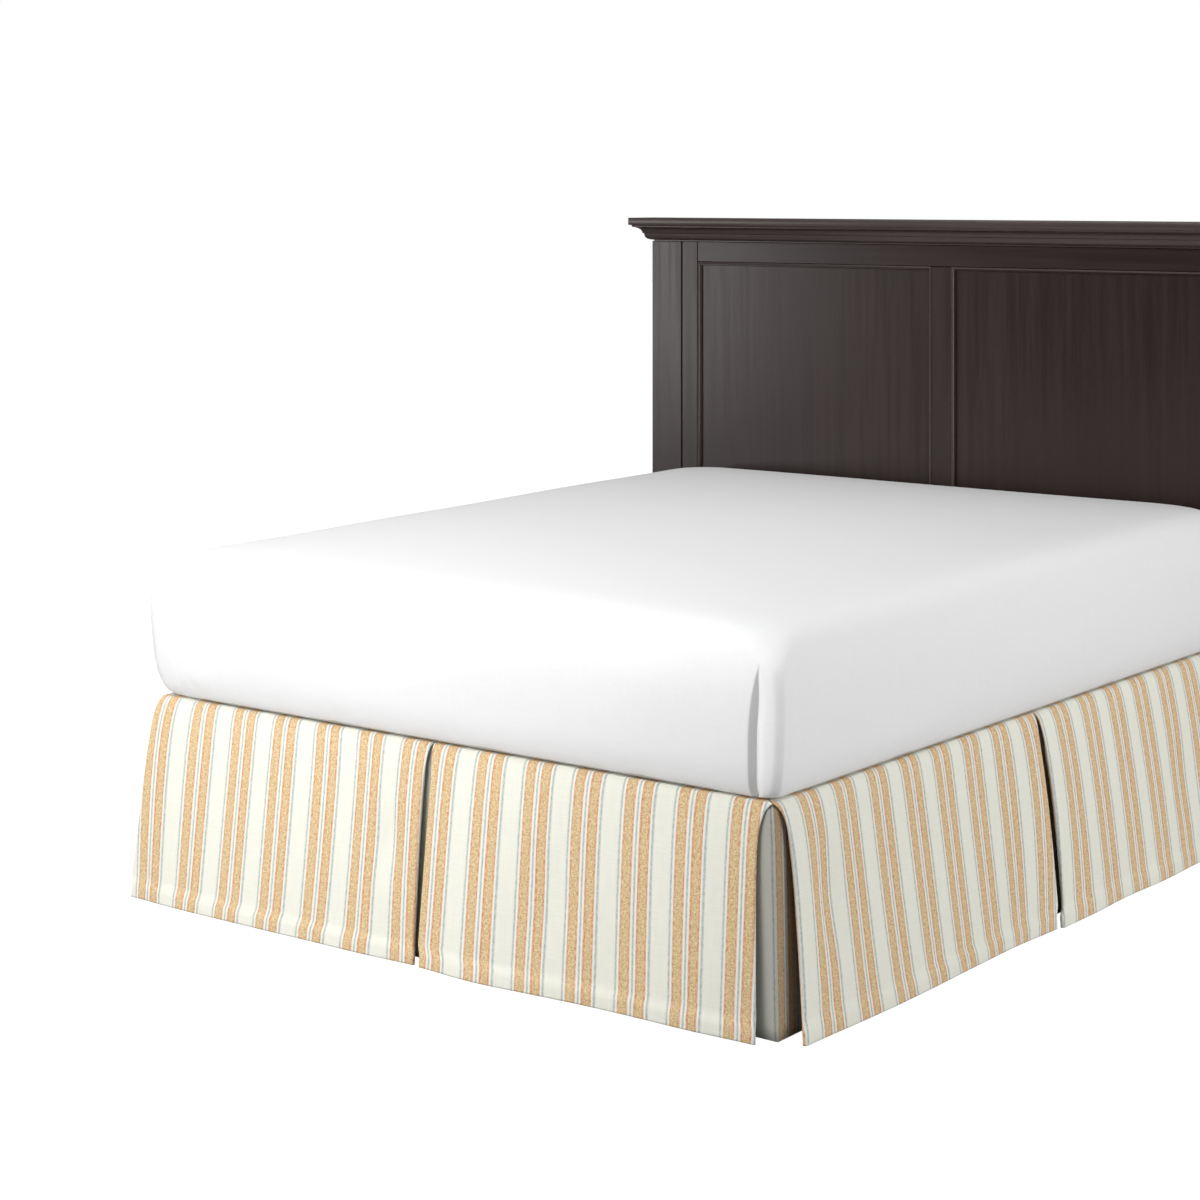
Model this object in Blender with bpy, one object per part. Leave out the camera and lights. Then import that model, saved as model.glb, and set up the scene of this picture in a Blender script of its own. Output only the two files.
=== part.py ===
# A tailored bed skirt on a plain bed.
#
# The skirt is sewn from flat widths of striped cloth: a deck that lies on the bed's base, six face
# panels that roll over the base's edge and hang to the floor, and underlays that close the splits
# behind the two foot corners and the three centre pleats. The bed carries it: a base on a steel
# frame, a mattress, and a wooden headboard whose posts stand on the floor.
#
# Metres, +Z up, floor at z = 0. +Y runs to the head of the bed and +X to its right-hand side, seen
# from the foot. The origin is on the floor under the middle of the whole piece.

import math

import bmesh
import bpy
import numpy as np

# Bed
BED_WIDTH = 1.524
BED_LENGTH = 2.032
BASE_TOP = 0.417
BASE_BOTTOM = 0.186
BASE_EDGE = 0.012
SEAT = 0.0003

# Cloth
CLOTH = 0.0015
CREST = 0.4243
DROP = 0.4225
HEM_BREAK = 0.045
HEM_BREAK_HEIGHT = 0.026
DECK_INSET = 0.0457

# Face panels: how the cloth leaves the base's edge and falls
TAB_REACHES = (0.060, 0.036, 0.016)
TAB_DIP = 0.0017
EDGE_STAND_OFF = 0.0068
EDGE_SOFTNESS = 0.010
ARCH = 0.6
PULL_DEPTH = 0.030
LEAN_CURVE = 1.5
FACE_DEPTHS = (
    0.0, 0.0015, 0.006, 0.014, 0.028, 0.055, 0.10, 0.16, 0.225, 0.29, 0.34, 0.377, 0.390, 0.404, DROP,
)
FACE_SEGMENTS = 12

# The side edge of a panel folds back behind its face: tight under the mattress, open at the hem
FOLD_RADIUS = 0.004
FOLD_RETURN = 0.013
FOLD_TIGHT = 0.00225
FOLD_STARTS = 0.020
FOLD_OPENS_OVER = 0.100
FOLD_SEGMENTS = 3

# Where the panels end along their edge of the bed
MITRE_GAP = 0.0025
FOOT_PLEAT = -0.0118
SIDE_PLEAT = -0.0030
HEAD_END = 1.008

# Underlays
UNDERLAY_TAB = 0.045
UNDERLAY_TAB_HEIGHT = 0.00105
UNDERLAY_CLEARANCE = 0.00275
UNDERLAY_HEM = 0.0075
UNDERLAY_WIDTH = 0.30
CORNER_LEG = 0.15
CORNER_FOLD = 0.003
CORNER_TAB_FOLD = 0.0015

# Headboard
HEADBOARD_FRONT = 1.0243
HEADBOARD_BACK = 1.0887
POST_OUTER = 0.895
POST_INNER = 0.7975
STILE_INNER = 0.747
CENTRE_STILE = 0.058
POST_TOP = 1.366
CORNICE_TOP = 1.4308
CORNICE_REACH = 0.048
PANEL_TOP = 1.3105
PANEL_BOTTOM = 0.450
LOWER_RAIL_BOTTOM = 0.120
FRAME_INSET = 0.004
FRAME_BOARD = 0.030
EASED_WOOD = 0.0015
PANEL_INSET = 0.006
PANEL_BOARD = 0.020
PANEL_BORDER = 0.012
BORDER_BEVEL = 0.002
FIELD_STEP = 0.005

# Steel frame under the base
FRAME_TUBE = 0.030
FRAME_X = 0.690
FRAME_SETBACK = 0.060
EASED_STEEL = 0.002
LEG_RADIUS = 0.018
LEG_YS = (-0.80, 0.05, 0.90)
CROSS_BAR_YS = (-0.62, 0.23, 0.78)

# One row for each face panel. "from" and "to" are its ends along the edge at the crest, and
# "hem_outs" is how far its hem stands out, at even steps from start to end. The next columns come in
# pairs, at its start and its end: how much of that the hem break adds, how far the split pulls the
# edge sideways near the top, how far it leans by the floor, how far the hem swings, and how deep
# the folded edge opens.
PANEL_COLUMNS = (
    "name", "side", "from", "to", "hem_outs", "hem_kicks", "pulls", "leans", "swings", "fold_depths",
    "furrow",
)
CORNER = "corner"
PANELS = (
    ("foot_panel_left", "foot", CORNER, FOOT_PLEAT - 0.0018,
     (0.067, 0.0715, 0.070, 0.069, 0.067, 0.065, 0.057), (0.004, 0.004),
     (-0.016, -0.008), (-0.026, -0.001), (0.008, 0.0045), (0.012, 0.012), "by_the_pleat"),
    ("foot_panel_right", "foot", FOOT_PLEAT + 0.0018, CORNER,
     (0.060, 0.0665, 0.058, 0.048, 0.041, 0.0385, 0.032), (0.004, 0.004),
     (0.0095, -0.0255), (-0.010, 0.009), (0.0085, 0.001), (0.012, 0.0052), "shallow"),
    ("right_panel_foot", "right", CORNER, SIDE_PLEAT - 0.0018,
     (0.056, 0.062, 0.0675, 0.0707, 0.0704, 0.070, 0.0785), (0.004, 0.003),
     (0.029, -0.018), (-0.004, -0.010), (-0.007, -0.015), (0.011, 0.012), "by_the_corner"),
    ("right_panel_head", "right", SIDE_PLEAT + 0.0018, HEAD_END,
     (0.0865, 0.0884, 0.0918, 0.092, 0.100, 0.104, 0.098), (0.004, 0.006),
     (0.002, -0.002), (-0.020, -0.022), (-0.018, -0.012), (0.010, 0.012), "wavy"),
    ("left_panel_foot", "left", CORNER, SIDE_PLEAT - 0.0018,
     (0.060, 0.066, 0.069, 0.068, 0.072, 0.073, 0.076), (0.004, 0.003),
     (0.004, -0.014), (0.012, -0.006), (-0.016, -0.012), (0.012, 0.012), "shallow"),
    ("left_panel_head", "left", SIDE_PLEAT + 0.0018, HEAD_END,
     (0.079, 0.083, 0.082, 0.088, 0.094, 0.092, 0.088), (0.003, 0.005),
     (-0.006, -0.002), (-0.014, -0.014), (-0.008, -0.010), (0.011, 0.012), "wavy"),
)

# Soft vertical hollows in a face: place along the panel, half width, depth, top and bottom; then
# the height and number of the slow waves that grow towards the hem.
FURROW_COLUMNS = ("place", "half_width", "depth", "top", "bottom", "wave_height", "waves")
FURROWS = {
    "by_the_pleat": (0.90, 0.045, 0.006, 0.10, 0.30, 0.0015, 1.0),
    "by_the_corner": (0.11, 0.040, 0.008, 0.05, 0.33, 0.0020, 1.2),
    "shallow": (0.40, 0.080, 0.004, 0.12, 0.40, 0.0020, 1.5),
    "wavy": (0.62, 0.070, 0.005, 0.10, 0.38, 0.0045, 2.6),
}

# Underlays behind the centre pleats and the foot corners
CENTRE_COLUMNS = ("name", "side", "middle", "hem_out")
CENTRE_UNDERLAYS = (
    ("foot_underlay", "foot", FOOT_PLEAT, 0.025),
    ("right_underlay", "right", SIDE_PLEAT, 0.040),
    ("left_underlay", "left", SIDE_PLEAT, 0.032),
)
CORNER_COLUMNS = ("name", "side", "foot_hem_out", "side_hem_out")
CORNER_UNDERLAYS = (
    ("right_corner_underlay", "right", 0.0070, 0.0150),
    ("left_corner_underlay", "left", 0.0065, 0.0130),
)
UNDERLAY_DEPTHS = (0.04, 0.12, 0.22, 0.32)

# The mattress from its flat underside to its crown: height, how far it stands out past the bed's
# edge, the same at the head end, and the radius of its corners seen from above.
MATTRESS_COLUMNS = ("height", "out", "head_out", "corner")
MATTRESS_RINGS = (
    (0.42365, -0.0640, -0.050, 0.030),
    (0.4268, -0.0200, -0.020, 0.034),
    (0.4290, -0.0040, -0.010, 0.036),
    (0.4360, 0.0080, -0.004, 0.040),
    (0.4550, 0.0200, 0.000, 0.045),
    (0.4950, 0.0310, 0.004, 0.048),
    (0.5600, 0.0370, 0.006, 0.050),
    (0.6250, 0.0360, 0.006, 0.050),
    (0.6700, 0.0270, 0.004, 0.055),
    (0.7030, 0.0120, 0.000, 0.065),
    (0.7240, -0.0130, -0.016, 0.080),
    (0.7350, -0.0500, -0.050, 0.095),
    (0.7410, -0.1200, -0.120, 0.110),
    (0.7450, -0.2700, -0.270, 0.120),
    (0.7470, -0.4800, -0.480, 0.120),
)
HEAD_RISE = 0.020
MATTRESS_CORNER_SEGMENTS = 5

IVORY = (0.84, 0.83, 0.76)
OCHRE = (0.78, 0.52, 0.27)
WHITE = (0.90, 0.90, 0.89)
ESPRESSO = (0.045, 0.032, 0.028)
STEEL = (0.10, 0.10, 0.105)


# ---------------------------------------------------------------- small helpers


def smooth(value):
    value = min(max(value, 0.0), 1.0)
    return value * value * (3 - 2 * value)


def rows_of(columns, table):
    return [dict(zip(columns, row, strict=True)) for row in table]


def clear_scene():
    for thing in list(bpy.data.objects):
        bpy.data.objects.remove(thing, do_unlink=True)


def finish_material(name, colour, roughness, metallic=0.0):
    made = bpy.data.materials.get(name) or bpy.data.materials.new(name)
    made.use_nodes = True
    shader = made.node_tree.nodes["Principled BSDF"]
    shader.inputs["Base Color"].default_value = (*colour, 1.0)
    shader.inputs["Roughness"].default_value = roughness
    shader.inputs["Metallic"].default_value = metallic
    made.diffuse_color = (*colour, 1.0)
    return made


def add_object(name, mesh_builder, made, smooth_angle=None):
    """Turn a bmesh into a named object with its faces pointing out."""
    bmesh.ops.recalc_face_normals(mesh_builder, faces=mesh_builder.faces)
    mesh = bpy.data.meshes.new(name)
    mesh_builder.to_mesh(mesh)
    mesh_builder.free()
    mesh.materials.append(made)
    if smooth_angle is not None:
        mesh.shade_smooth()
        mesh.set_sharp_from_angle(angle=math.radians(smooth_angle))
    thing = bpy.data.objects.new(name, mesh)
    bpy.context.collection.objects.link(thing)
    return thing


def add_board(name, low, high, made, bevel=0.0, bevel_segments=1):
    """A rectangular board between two corners, its edges eased by a bevel."""
    size = [b - a for a, b in zip(low, high, strict=True)]
    builder = bmesh.new()
    bmesh.ops.create_cube(builder, size=1.0)
    bmesh.ops.scale(builder, vec=size, verts=builder.verts)
    thing = add_object(name, builder, made)
    thing.location = [(a + b) / 2 for a, b in zip(low, high, strict=True)]
    if bevel:
        rounding = thing.modifiers.new("eased edges", "BEVEL")
        rounding.width = bevel
        rounding.segments = bevel_segments
        rounding.limit_method = "ANGLE"
    return thing


def loft(name, rings, made, smooth_angle=None):
    """One closed body through rings of points, with a flat face on its first and last ring."""
    builder = bmesh.new()
    levels = [[builder.verts.new(point) for point in ring] for ring in rings]
    for lower, upper in zip(levels, levels[1:]):
        count = len(lower)
        for i in range(count):
            j = (i + 1) % count
            builder.faces.new((lower[i], lower[j], upper[j], upper[i]))
    builder.faces.new(levels[0])
    builder.faces.new(levels[-1])
    return add_object(name, builder, made, smooth_angle)


# ---------------------------------------------------------------- cloth


def on_side(side, along, out, height):
    """A point given along an edge of the bed, out from it, and above the floor."""
    if side == "foot":
        return (along, -BED_LENGTH / 2 - out, height)
    if side == "right":
        return (BED_WIDTH / 2 + out, along, height)
    return (-BED_WIDTH / 2 - out, along, height)


def corner_of(side):
    """The end of an edge of the bed at a foot corner, as a distance along that edge."""
    return BED_WIDTH / 2 if side == "foot" else BED_LENGTH / 2


def bisectors(points, axis):
    """Unit directions along one axis of a grid of points, halfway between the two next steps."""
    steps = np.diff(points, axis=axis)
    steps /= np.linalg.norm(steps, axis=-1, keepdims=True)
    first, last = np.take(steps, [0], axis), np.take(steps, [-1], axis)
    ways = np.concatenate([first, steps], axis) + np.concatenate([steps, last], axis)
    return ways / np.linalg.norm(ways, axis=-1, keepdims=True)


def add_cloth(name, grid, made):
    """A sheet of cloth as one closed solid, half its thickness to each side of a grid of points."""
    grid = np.array(grid, float)
    normals = np.cross(bisectors(grid, 1), bisectors(grid, 0))
    normals /= np.linalg.norm(normals, axis=-1, keepdims=True)
    builder = bmesh.new()
    front, back = (
        [[builder.verts.new(point) for point in row] for row in grid + way * normals * CLOTH / 2]
        for way in (-1, 1)
    )
    rows, columns = grid.shape[:2]
    for i in range(rows - 1):
        for j in range(columns - 1):
            for sheet in (front, back):
                builder.faces.new((sheet[i][j], sheet[i][j + 1], sheet[i + 1][j + 1], sheet[i + 1][j]))
    rim = [(0, j) for j in range(columns)] + [(i, columns - 1) for i in range(1, rows)]
    rim += [(rows - 1, j) for j in range(columns - 2, -1, -1)] + [(i, 0) for i in range(rows - 2, 0, -1)]
    for (i, j), (k, m) in zip(rim, rim[1:] + rim[:1], strict=True):
        builder.faces.new((front[i][j], front[k][m], back[k][m], back[i][j]))
    return add_object(name, builder, made, smooth_angle=50)


def between(values, share):
    """A value on a smooth curve through evenly spaced values."""
    place = min(max(share, 0.0), 1.0) * (len(values) - 1)
    i = min(int(place), len(values) - 2)
    t = place - i
    before, a, b, after = (values[min(max(k, 0), len(values) - 1)] for k in range(i - 1, i + 3))
    slopes = (b - before) / 2, (after - a) / 2
    bend = 2 * t**3 - 3 * t**2
    return a * (1 + bend) - b * bend + slopes[0] * t * (1 - t) ** 2 - slopes[1] * t**2 * (1 - t)


def hem_share(depth):
    return smooth((depth - (DROP - HEM_BREAK)) / HEM_BREAK_HEIGHT)


def face_out(depth, flare, kick):
    """How far a face stands out from the bed's edge at a depth below the crest."""
    edge = EDGE_STAND_OFF * depth / (depth + EDGE_SOFTNESS)
    return edge + (flare - EDGE_STAND_OFF) * (depth / DROP) ** ARCH + kick * hem_share(depth)


def relief(furrow, place, depth):
    """The hollow and the slow waves of a face, as a distance out."""
    span = (depth - furrow["top"]) / (furrow["bottom"] - furrow["top"])
    hollow = math.sin(math.pi * min(max(span, 0.0), 1.0)) ** 2
    hollow *= math.exp(-(((place - furrow["place"]) / furrow["half_width"]) ** 2))
    ends = math.sin(math.pi * place)
    wave = math.sin(2 * math.pi * furrow["waves"] * place) * ends * (depth / DROP) ** 1.5
    return furrow["wave_height"] * wave - furrow["depth"] * hollow


def edge_along(panel, end, depth, reach):
    """Where an end of a panel lies along its edge of the bed, at a depth or on its tab."""
    sign = (-1, 1)[end]
    limit = panel[("from", "to")[end]]
    if limit == CORNER:
        limit = sign * (corner_of(panel["side"]) - reach - MITRE_GAP)
    pull = panel["pulls"][end] * (1 - math.exp(-depth / PULL_DEPTH))
    lean = panel["leans"][end] * (depth / DROP) ** LEAN_CURVE
    return limit + pull + lean + panel["swings"][end] * hem_share(depth)


def fold_angle(radius, depth):
    """The turn of a folded edge whose free end reaches a given depth behind the face."""
    low, high = math.pi / 2, math.pi
    for _ in range(30):
        middle = (low + high) / 2
        if radius * (1 - math.cos(middle)) + FOLD_RETURN * math.sin(middle) > depth:
            low = middle
        else:
            high = middle
    return high


def folded_edge(along, sign, point, inward, depth_at_hem, depth):
    """Points round the folded side edge of a panel, from its face to its free end."""
    opened = smooth((depth - FOLD_STARTS) / FOLD_OPENS_OVER)
    fold_depth = FOLD_TIGHT + (depth_at_hem - FOLD_TIGHT) * opened
    radius = min(FOLD_RADIUS, fold_depth / 2)
    turn = fold_angle(radius, fold_depth)
    straight = along - sign * radius
    points = []
    for i in range(FOLD_SEGMENTS + 1):
        angle = turn * i / FOLD_SEGMENTS
        back = radius * (1 - math.cos(angle))
        points.append((straight + sign * radius * math.sin(angle), *(point + inward * back)))
    tip_back = radius * (1 - math.cos(turn)) + FOLD_RETURN * math.sin(turn)
    tip_along = straight + sign * (radius * math.sin(turn) + FOLD_RETURN * math.cos(turn))
    points.append((tip_along, *(point + inward * tip_back)))
    return points


def face_places(furrow):
    """Shares along a face where its columns stand, closer together over the hollow."""
    places = {i / FACE_SEGMENTS for i in range(1, FACE_SEGMENTS)}
    near = {furrow["place"] + way * furrow["half_width"] for way in (-1, 0, 1)}
    kept = {p for p in places if all(abs(p - n) > 0.5 / FACE_SEGMENTS for n in near)}
    return sorted(kept | near)


def add_face_panel(panel, made):
    furrow = dict(zip(FURROW_COLUMNS, FURROWS[panel["furrow"]], strict=True))
    levels = [(reach, 0.0) for reach in TAB_REACHES] + [(0.0, depth) for depth in FACE_DEPTHS]

    def face_point(place, reach, depth):
        kick = panel["hem_kicks"][0] * (1 - place) + panel["hem_kicks"][1] * place
        flare = between(panel["hem_outs"], place) - kick
        out = face_out(depth, flare, kick) + relief(furrow, place, depth) - reach
        dip = TAB_DIP * smooth((reach - TAB_REACHES[-1]) / (TAB_REACHES[0] - TAB_REACHES[-1]))
        return np.array((out, CREST - depth - dip))

    profiles = [np.array([face_point(end, *level) for level in levels]) for end in (0, 1)]
    ways = [bisectors(profile, 0) for profile in profiles]
    grid = []
    for row, (reach, depth) in enumerate(levels):
        folds = []
        for end, sign in enumerate((-1, 1)):
            out_step, up_step = ways[end][row]
            inward = np.array((up_step, -out_step))
            along = edge_along(panel, end, depth, reach)
            folds.append(
                folded_edge(along, sign, profiles[end][row], inward, panel["fold_depths"][end], depth)
            )
        first, last = folds[0][0][0], folds[1][0][0]
        face = [
            (first + (last - first) * place, *face_point(place, reach, depth))
            for place in face_places(furrow)
        ]
        line = folds[0][::-1] + face + folds[1]
        grid.append([on_side(panel["side"], *point) for point in line])
    return add_cloth(panel["name"], grid, made)


def underlay_levels():
    """Rows of an underlay as pairs: its distance out, and its height, with no flare yet."""
    tab_top = BASE_TOP + UNDERLAY_TAB_HEIGHT
    centre_out, centre_up = -BASE_EDGE, BASE_TOP - BASE_EDGE
    radius = BASE_EDGE + UNDERLAY_CLEARANCE
    levels = [(-UNDERLAY_TAB, tab_top), (-UNDERLAY_TAB / 2, (tab_top + centre_up + radius) / 2)]
    for i in range(4):
        angle = math.pi / 2 * i / 3
        levels.append((centre_out + radius * math.sin(angle), centre_up + radius * math.cos(angle)))
    levels += [(UNDERLAY_CLEARANCE, CREST - depth) for depth in UNDERLAY_DEPTHS]
    levels.append((UNDERLAY_CLEARANCE, UNDERLAY_HEM))
    return levels


def underlay_out(out, height, hem_out):
    """An underlay's distance out once it leans towards its hem."""
    share = min(max((BASE_TOP - BASE_EDGE - height) / (BASE_TOP - UNDERLAY_HEM), 0.0), 1.0)
    return out + (hem_out - UNDERLAY_CLEARANCE) * share**0.7


def add_centre_underlay(row, made):
    columns = 6
    grid = []
    for out, height in underlay_levels():
        line = []
        for i in range(columns + 1):
            along = row["middle"] + UNDERLAY_WIDTH * (i / columns - 0.5)
            line.append(on_side(row["side"], along, underlay_out(out, height, row["hem_out"]), height))
        grid.append(line)
    return add_cloth(row["name"], grid, made)


def add_corner_underlay(row, made):
    """One piece of cloth round a foot corner: a leg on the foot, a sharp turn, a leg on the side."""
    leg_segments = turn_segments = 4
    across = 1 if row["side"] == "right" else -1
    grid = []
    for out, height in underlay_levels():
        foot_out = underlay_out(out, height, row["foot_hem_out"])
        side_out = underlay_out(out, height, row["side_hem_out"])
        fold = CORNER_TAB_FOLD if out < 0 else CORNER_FOLD
        centre_x = BED_WIDTH / 2 + side_out - fold
        centre_y = -BED_LENGTH / 2 - foot_out + fold
        leg = CORNER_LEG
        line = []
        for i in range(leg_segments):
            x = BED_WIDTH / 2 - leg + (centre_x - BED_WIDTH / 2 + leg) * i / leg_segments
            line.append((x, centre_y - fold))
        for i in range(turn_segments + 1):
            angle = math.pi / 2 * i / turn_segments
            line.append((centre_x + fold * math.sin(angle), centre_y - fold * math.cos(angle)))
        for i in range(1, leg_segments + 1):
            y = centre_y + (leg - BED_LENGTH / 2 - centre_y) * i / leg_segments
            line.append((centre_x + fold, y))
        grid.append([(across * x, y, height) for x, y in line])
    return add_cloth(row["name"], grid, made)


def build_skirt():
    ivory = finish_material("ivory cloth", IVORY, 0.85)
    ochre = finish_material("ochre striped cloth", OCHRE, 0.85)
    low = (DECK_INSET - BED_WIDTH / 2, DECK_INSET - BED_LENGTH / 2, BASE_TOP + SEAT)
    high = (BED_WIDTH / 2 - DECK_INSET, BED_LENGTH / 2, BASE_TOP + SEAT + CLOTH)
    add_board("deck", low, high, ivory)
    for panel in rows_of(PANEL_COLUMNS, PANELS):
        add_face_panel(panel, ochre)
    for row in rows_of(CENTRE_COLUMNS, CENTRE_UNDERLAYS):
        add_centre_underlay(row, ivory)
    for row in rows_of(CORNER_COLUMNS, CORNER_UNDERLAYS):
        add_corner_underlay(row, ivory)


# ---------------------------------------------------------------- bed


def rounded_outline(row):
    """A rectangle with round corners, seen from above, as points at one height."""
    right = BED_WIDTH / 2 + row["out"]
    foot, head = -BED_LENGTH / 2 - row["out"], BED_LENGTH / 2 + row["head_out"]
    radius = row["corner"]
    corners = ((right, foot, -90), (right, head, 0), (-right, head, 90), (-right, foot, 180))
    points = []
    for x, y, start in corners:
        centre_x = x - math.copysign(radius, x)
        centre_y = y - math.copysign(radius, y)
        for i in range(MATTRESS_CORNER_SEGMENTS + 1):
            angle = math.radians(start + 90 * i / MATTRESS_CORNER_SEGMENTS)
            x, y = centre_x + radius * math.cos(angle), centre_y + radius * math.sin(angle)
            share = (row["height"] - BASE_TOP) / (MATTRESS_RINGS[-1][0] - BASE_TOP)
            rise = HEAD_RISE * smooth(2 * share - 1) * smooth(0.5 + y / BED_LENGTH)
            points.append((x, y, row["height"] + rise))
    return points


def build_base_and_mattress():
    white = finish_material("white sheet", WHITE, 0.9)
    ticking = finish_material("base ticking", (0.75, 0.74, 0.71), 0.9)
    half_width, half_length = BED_WIDTH / 2, BED_LENGTH / 2
    low, high = (-half_width, -half_length, BASE_BOTTOM), (half_width, half_length, BASE_TOP)
    add_board("base", low, high, ticking, BASE_EDGE, 3)
    rings = [rounded_outline(row) for row in rows_of(MATTRESS_COLUMNS, MATTRESS_RINGS)]
    loft("mattress", rings, white, smooth_angle=60)


def build_steel_frame():
    """Two side rails, cross bars between them, and round legs under the rails."""
    steel = finish_material("dark steel", STEEL, 0.4, 0.8)
    top = BASE_BOTTOM - SEAT
    bottom = top - FRAME_TUBE
    half = FRAME_TUBE / 2
    foot_end, head_end = FRAME_SETBACK - BED_LENGTH / 2, HEADBOARD_FRONT - SEAT
    for name, x in (("left", -FRAME_X), ("right", FRAME_X)):
        low, high = (x - half, foot_end, bottom), (x + half, head_end, top)
        add_board(f"frame_rail_{name}", low, high, steel, EASED_STEEL)
        for number, y in enumerate(LEG_YS, 1):
            builder = bmesh.new()
            bmesh.ops.create_cone(
                builder, cap_ends=True, segments=16, radius1=LEG_RADIUS, radius2=LEG_RADIUS,
                depth=bottom - SEAT,
            )
            leg = add_object(f"leg_{name}_{number}", builder, steel, smooth_angle=40)
            leg.location = (x, y, (bottom - SEAT) / 2)
    reach = FRAME_X - half - SEAT
    for number, y in enumerate(CROSS_BAR_YS, 1):
        low, high = (-reach, y - half, bottom), (reach, y + half, top)
        add_board(f"cross_bar_{number}", low, high, steel, EASED_STEEL)


def quarter(centre, radii, start, steps=4):
    """Points a quarter turn round an ellipse, from a starting angle in degrees."""
    points = []
    for i in range(steps + 1):
        angle = math.radians(start + 90 * i / steps)
        points.append((centre[0] + radii[0] * math.cos(angle), centre[1] + radii[1] * math.sin(angle)))
    return points


def cornice_profile():
    """The moulding from its foot to its top, as pairs: how far it stands out, and its height."""
    foot, fascia = POST_TOP + SEAT, CORNICE_TOP - 0.0195
    points = [(-0.004, foot), (-0.004, foot + 0.003), (0.005, foot + 0.004)]
    points += quarter((0.007, foot + 0.0185), (0.012, 0.0143), -90)
    points += quarter((0.030, foot + 0.0210), (-0.0125, 0.0155), 0)
    points += [(CORNICE_REACH - 0.006, fascia - 0.004), (CORNICE_REACH - 0.006, fascia - 0.0005)]
    points += [(CORNICE_REACH, fascia), (CORNICE_REACH, CORNICE_TOP)]
    return points


def add_recessed_panel(name, low, high, made):
    """A panel set into the frame: a shallow border all round and a deeper field inside it."""
    thing = add_board(name, low, high, made)
    builder = bmesh.new()
    builder.from_mesh(thing.data)
    front = min(builder.faces, key=lambda face: face.calc_center_median().y)
    bmesh.ops.inset_region(builder, faces=[front], thickness=PANEL_BORDER)
    bmesh.ops.inset_region(builder, faces=[front], thickness=BORDER_BEVEL)
    bmesh.ops.translate(builder, vec=(0, FIELD_STEP, 0), verts=front.verts)
    builder.to_mesh(thing.data)
    builder.free()
    return thing


def build_headboard():
    wood = finish_material("espresso wood", ESPRESSO, 0.35)
    front, back = HEADBOARD_FRONT, HEADBOARD_BACK
    ease = EASED_WOOD
    frame_front = front + FRAME_INSET
    frame_back = frame_front + FRAME_BOARD
    for name, sign in (("left", -1), ("right", 1)):
        xs = sorted((sign * (POST_INNER + SEAT), sign * POST_OUTER))
        add_board(f"headboard_post_{name}", (xs[0], front, 0.0), (xs[1], back, POST_TOP), wood, ease)
        xs = sorted((sign * POST_INNER, sign * STILE_INNER))
        add_board(
            f"headboard_stile_{name}", (xs[0], frame_front, LOWER_RAIL_BOTTOM),
            (xs[1], frame_back, POST_TOP), wood, ease,
        )
    rail = STILE_INNER - SEAT
    add_board(
        "headboard_top_rail", (-rail, frame_front, PANEL_TOP), (rail, frame_back, POST_TOP), wood, ease,
    )
    add_board(
        "headboard_lower_rail", (-rail, front, LOWER_RAIL_BOTTOM), (rail, frame_back, PANEL_BOTTOM),
        wood, ease,
    )
    half = CENTRE_STILE / 2
    low_z, high_z = PANEL_BOTTOM + SEAT, PANEL_TOP - SEAT
    add_board(
        "headboard_centre_stile", (-half, frame_front, low_z), (half, frame_back, high_z), wood, ease,
    )
    panel_front = frame_front + PANEL_INSET
    panel_back = panel_front + PANEL_BOARD
    for name, sign in (("left", -1), ("right", 1)):
        xs = sorted((sign * (half + SEAT), sign * (STILE_INNER - SEAT)))
        add_recessed_panel(
            f"headboard_panel_{name}", (xs[0], panel_front, low_z), (xs[1], panel_back, high_z), wood,
        )
    rings = []
    for out, height in cornice_profile():
        x, y = POST_OUTER + out, front - out
        rings.append([(-x, y, height), (x, y, height), (x, back, height), (-x, back, height)])
    loft("headboard_cornice", rings, wood)


clear_scene()
build_base_and_mattress()
build_steel_frame()
build_headboard()
build_skirt()
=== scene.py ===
import math

import bmesh
import bpy
import numpy as np
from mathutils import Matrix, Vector


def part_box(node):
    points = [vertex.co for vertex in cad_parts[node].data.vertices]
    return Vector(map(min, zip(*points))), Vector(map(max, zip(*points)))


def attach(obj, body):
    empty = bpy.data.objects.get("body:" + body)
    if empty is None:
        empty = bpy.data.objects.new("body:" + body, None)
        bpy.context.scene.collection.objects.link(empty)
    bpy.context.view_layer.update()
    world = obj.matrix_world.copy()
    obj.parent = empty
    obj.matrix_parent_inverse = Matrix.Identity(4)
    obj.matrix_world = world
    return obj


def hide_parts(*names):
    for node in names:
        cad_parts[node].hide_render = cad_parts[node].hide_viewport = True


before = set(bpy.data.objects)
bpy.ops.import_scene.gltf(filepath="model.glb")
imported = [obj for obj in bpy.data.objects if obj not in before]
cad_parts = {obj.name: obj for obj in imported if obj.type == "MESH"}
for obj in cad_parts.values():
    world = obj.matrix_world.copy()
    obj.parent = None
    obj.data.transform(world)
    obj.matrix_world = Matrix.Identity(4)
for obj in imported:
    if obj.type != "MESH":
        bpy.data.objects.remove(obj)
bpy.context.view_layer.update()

# A striped, tailored bed skirt on a bed: the cloth hangs in the folds of its solids, over a base, with a
# white fitted sheet on the mattress and a dark wooden headboard behind.
# Metres, +Z up, +Y towards the head of the bed.


def smooth(value):
    value = min(max(value, 0.0), 1.0)
    return value * value * (3 - 2 * value)


def bump(value):
    # one soft hump: 1 at 0, falling to 0 at -1 and 1
    return smooth(1 - abs(value))


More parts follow.
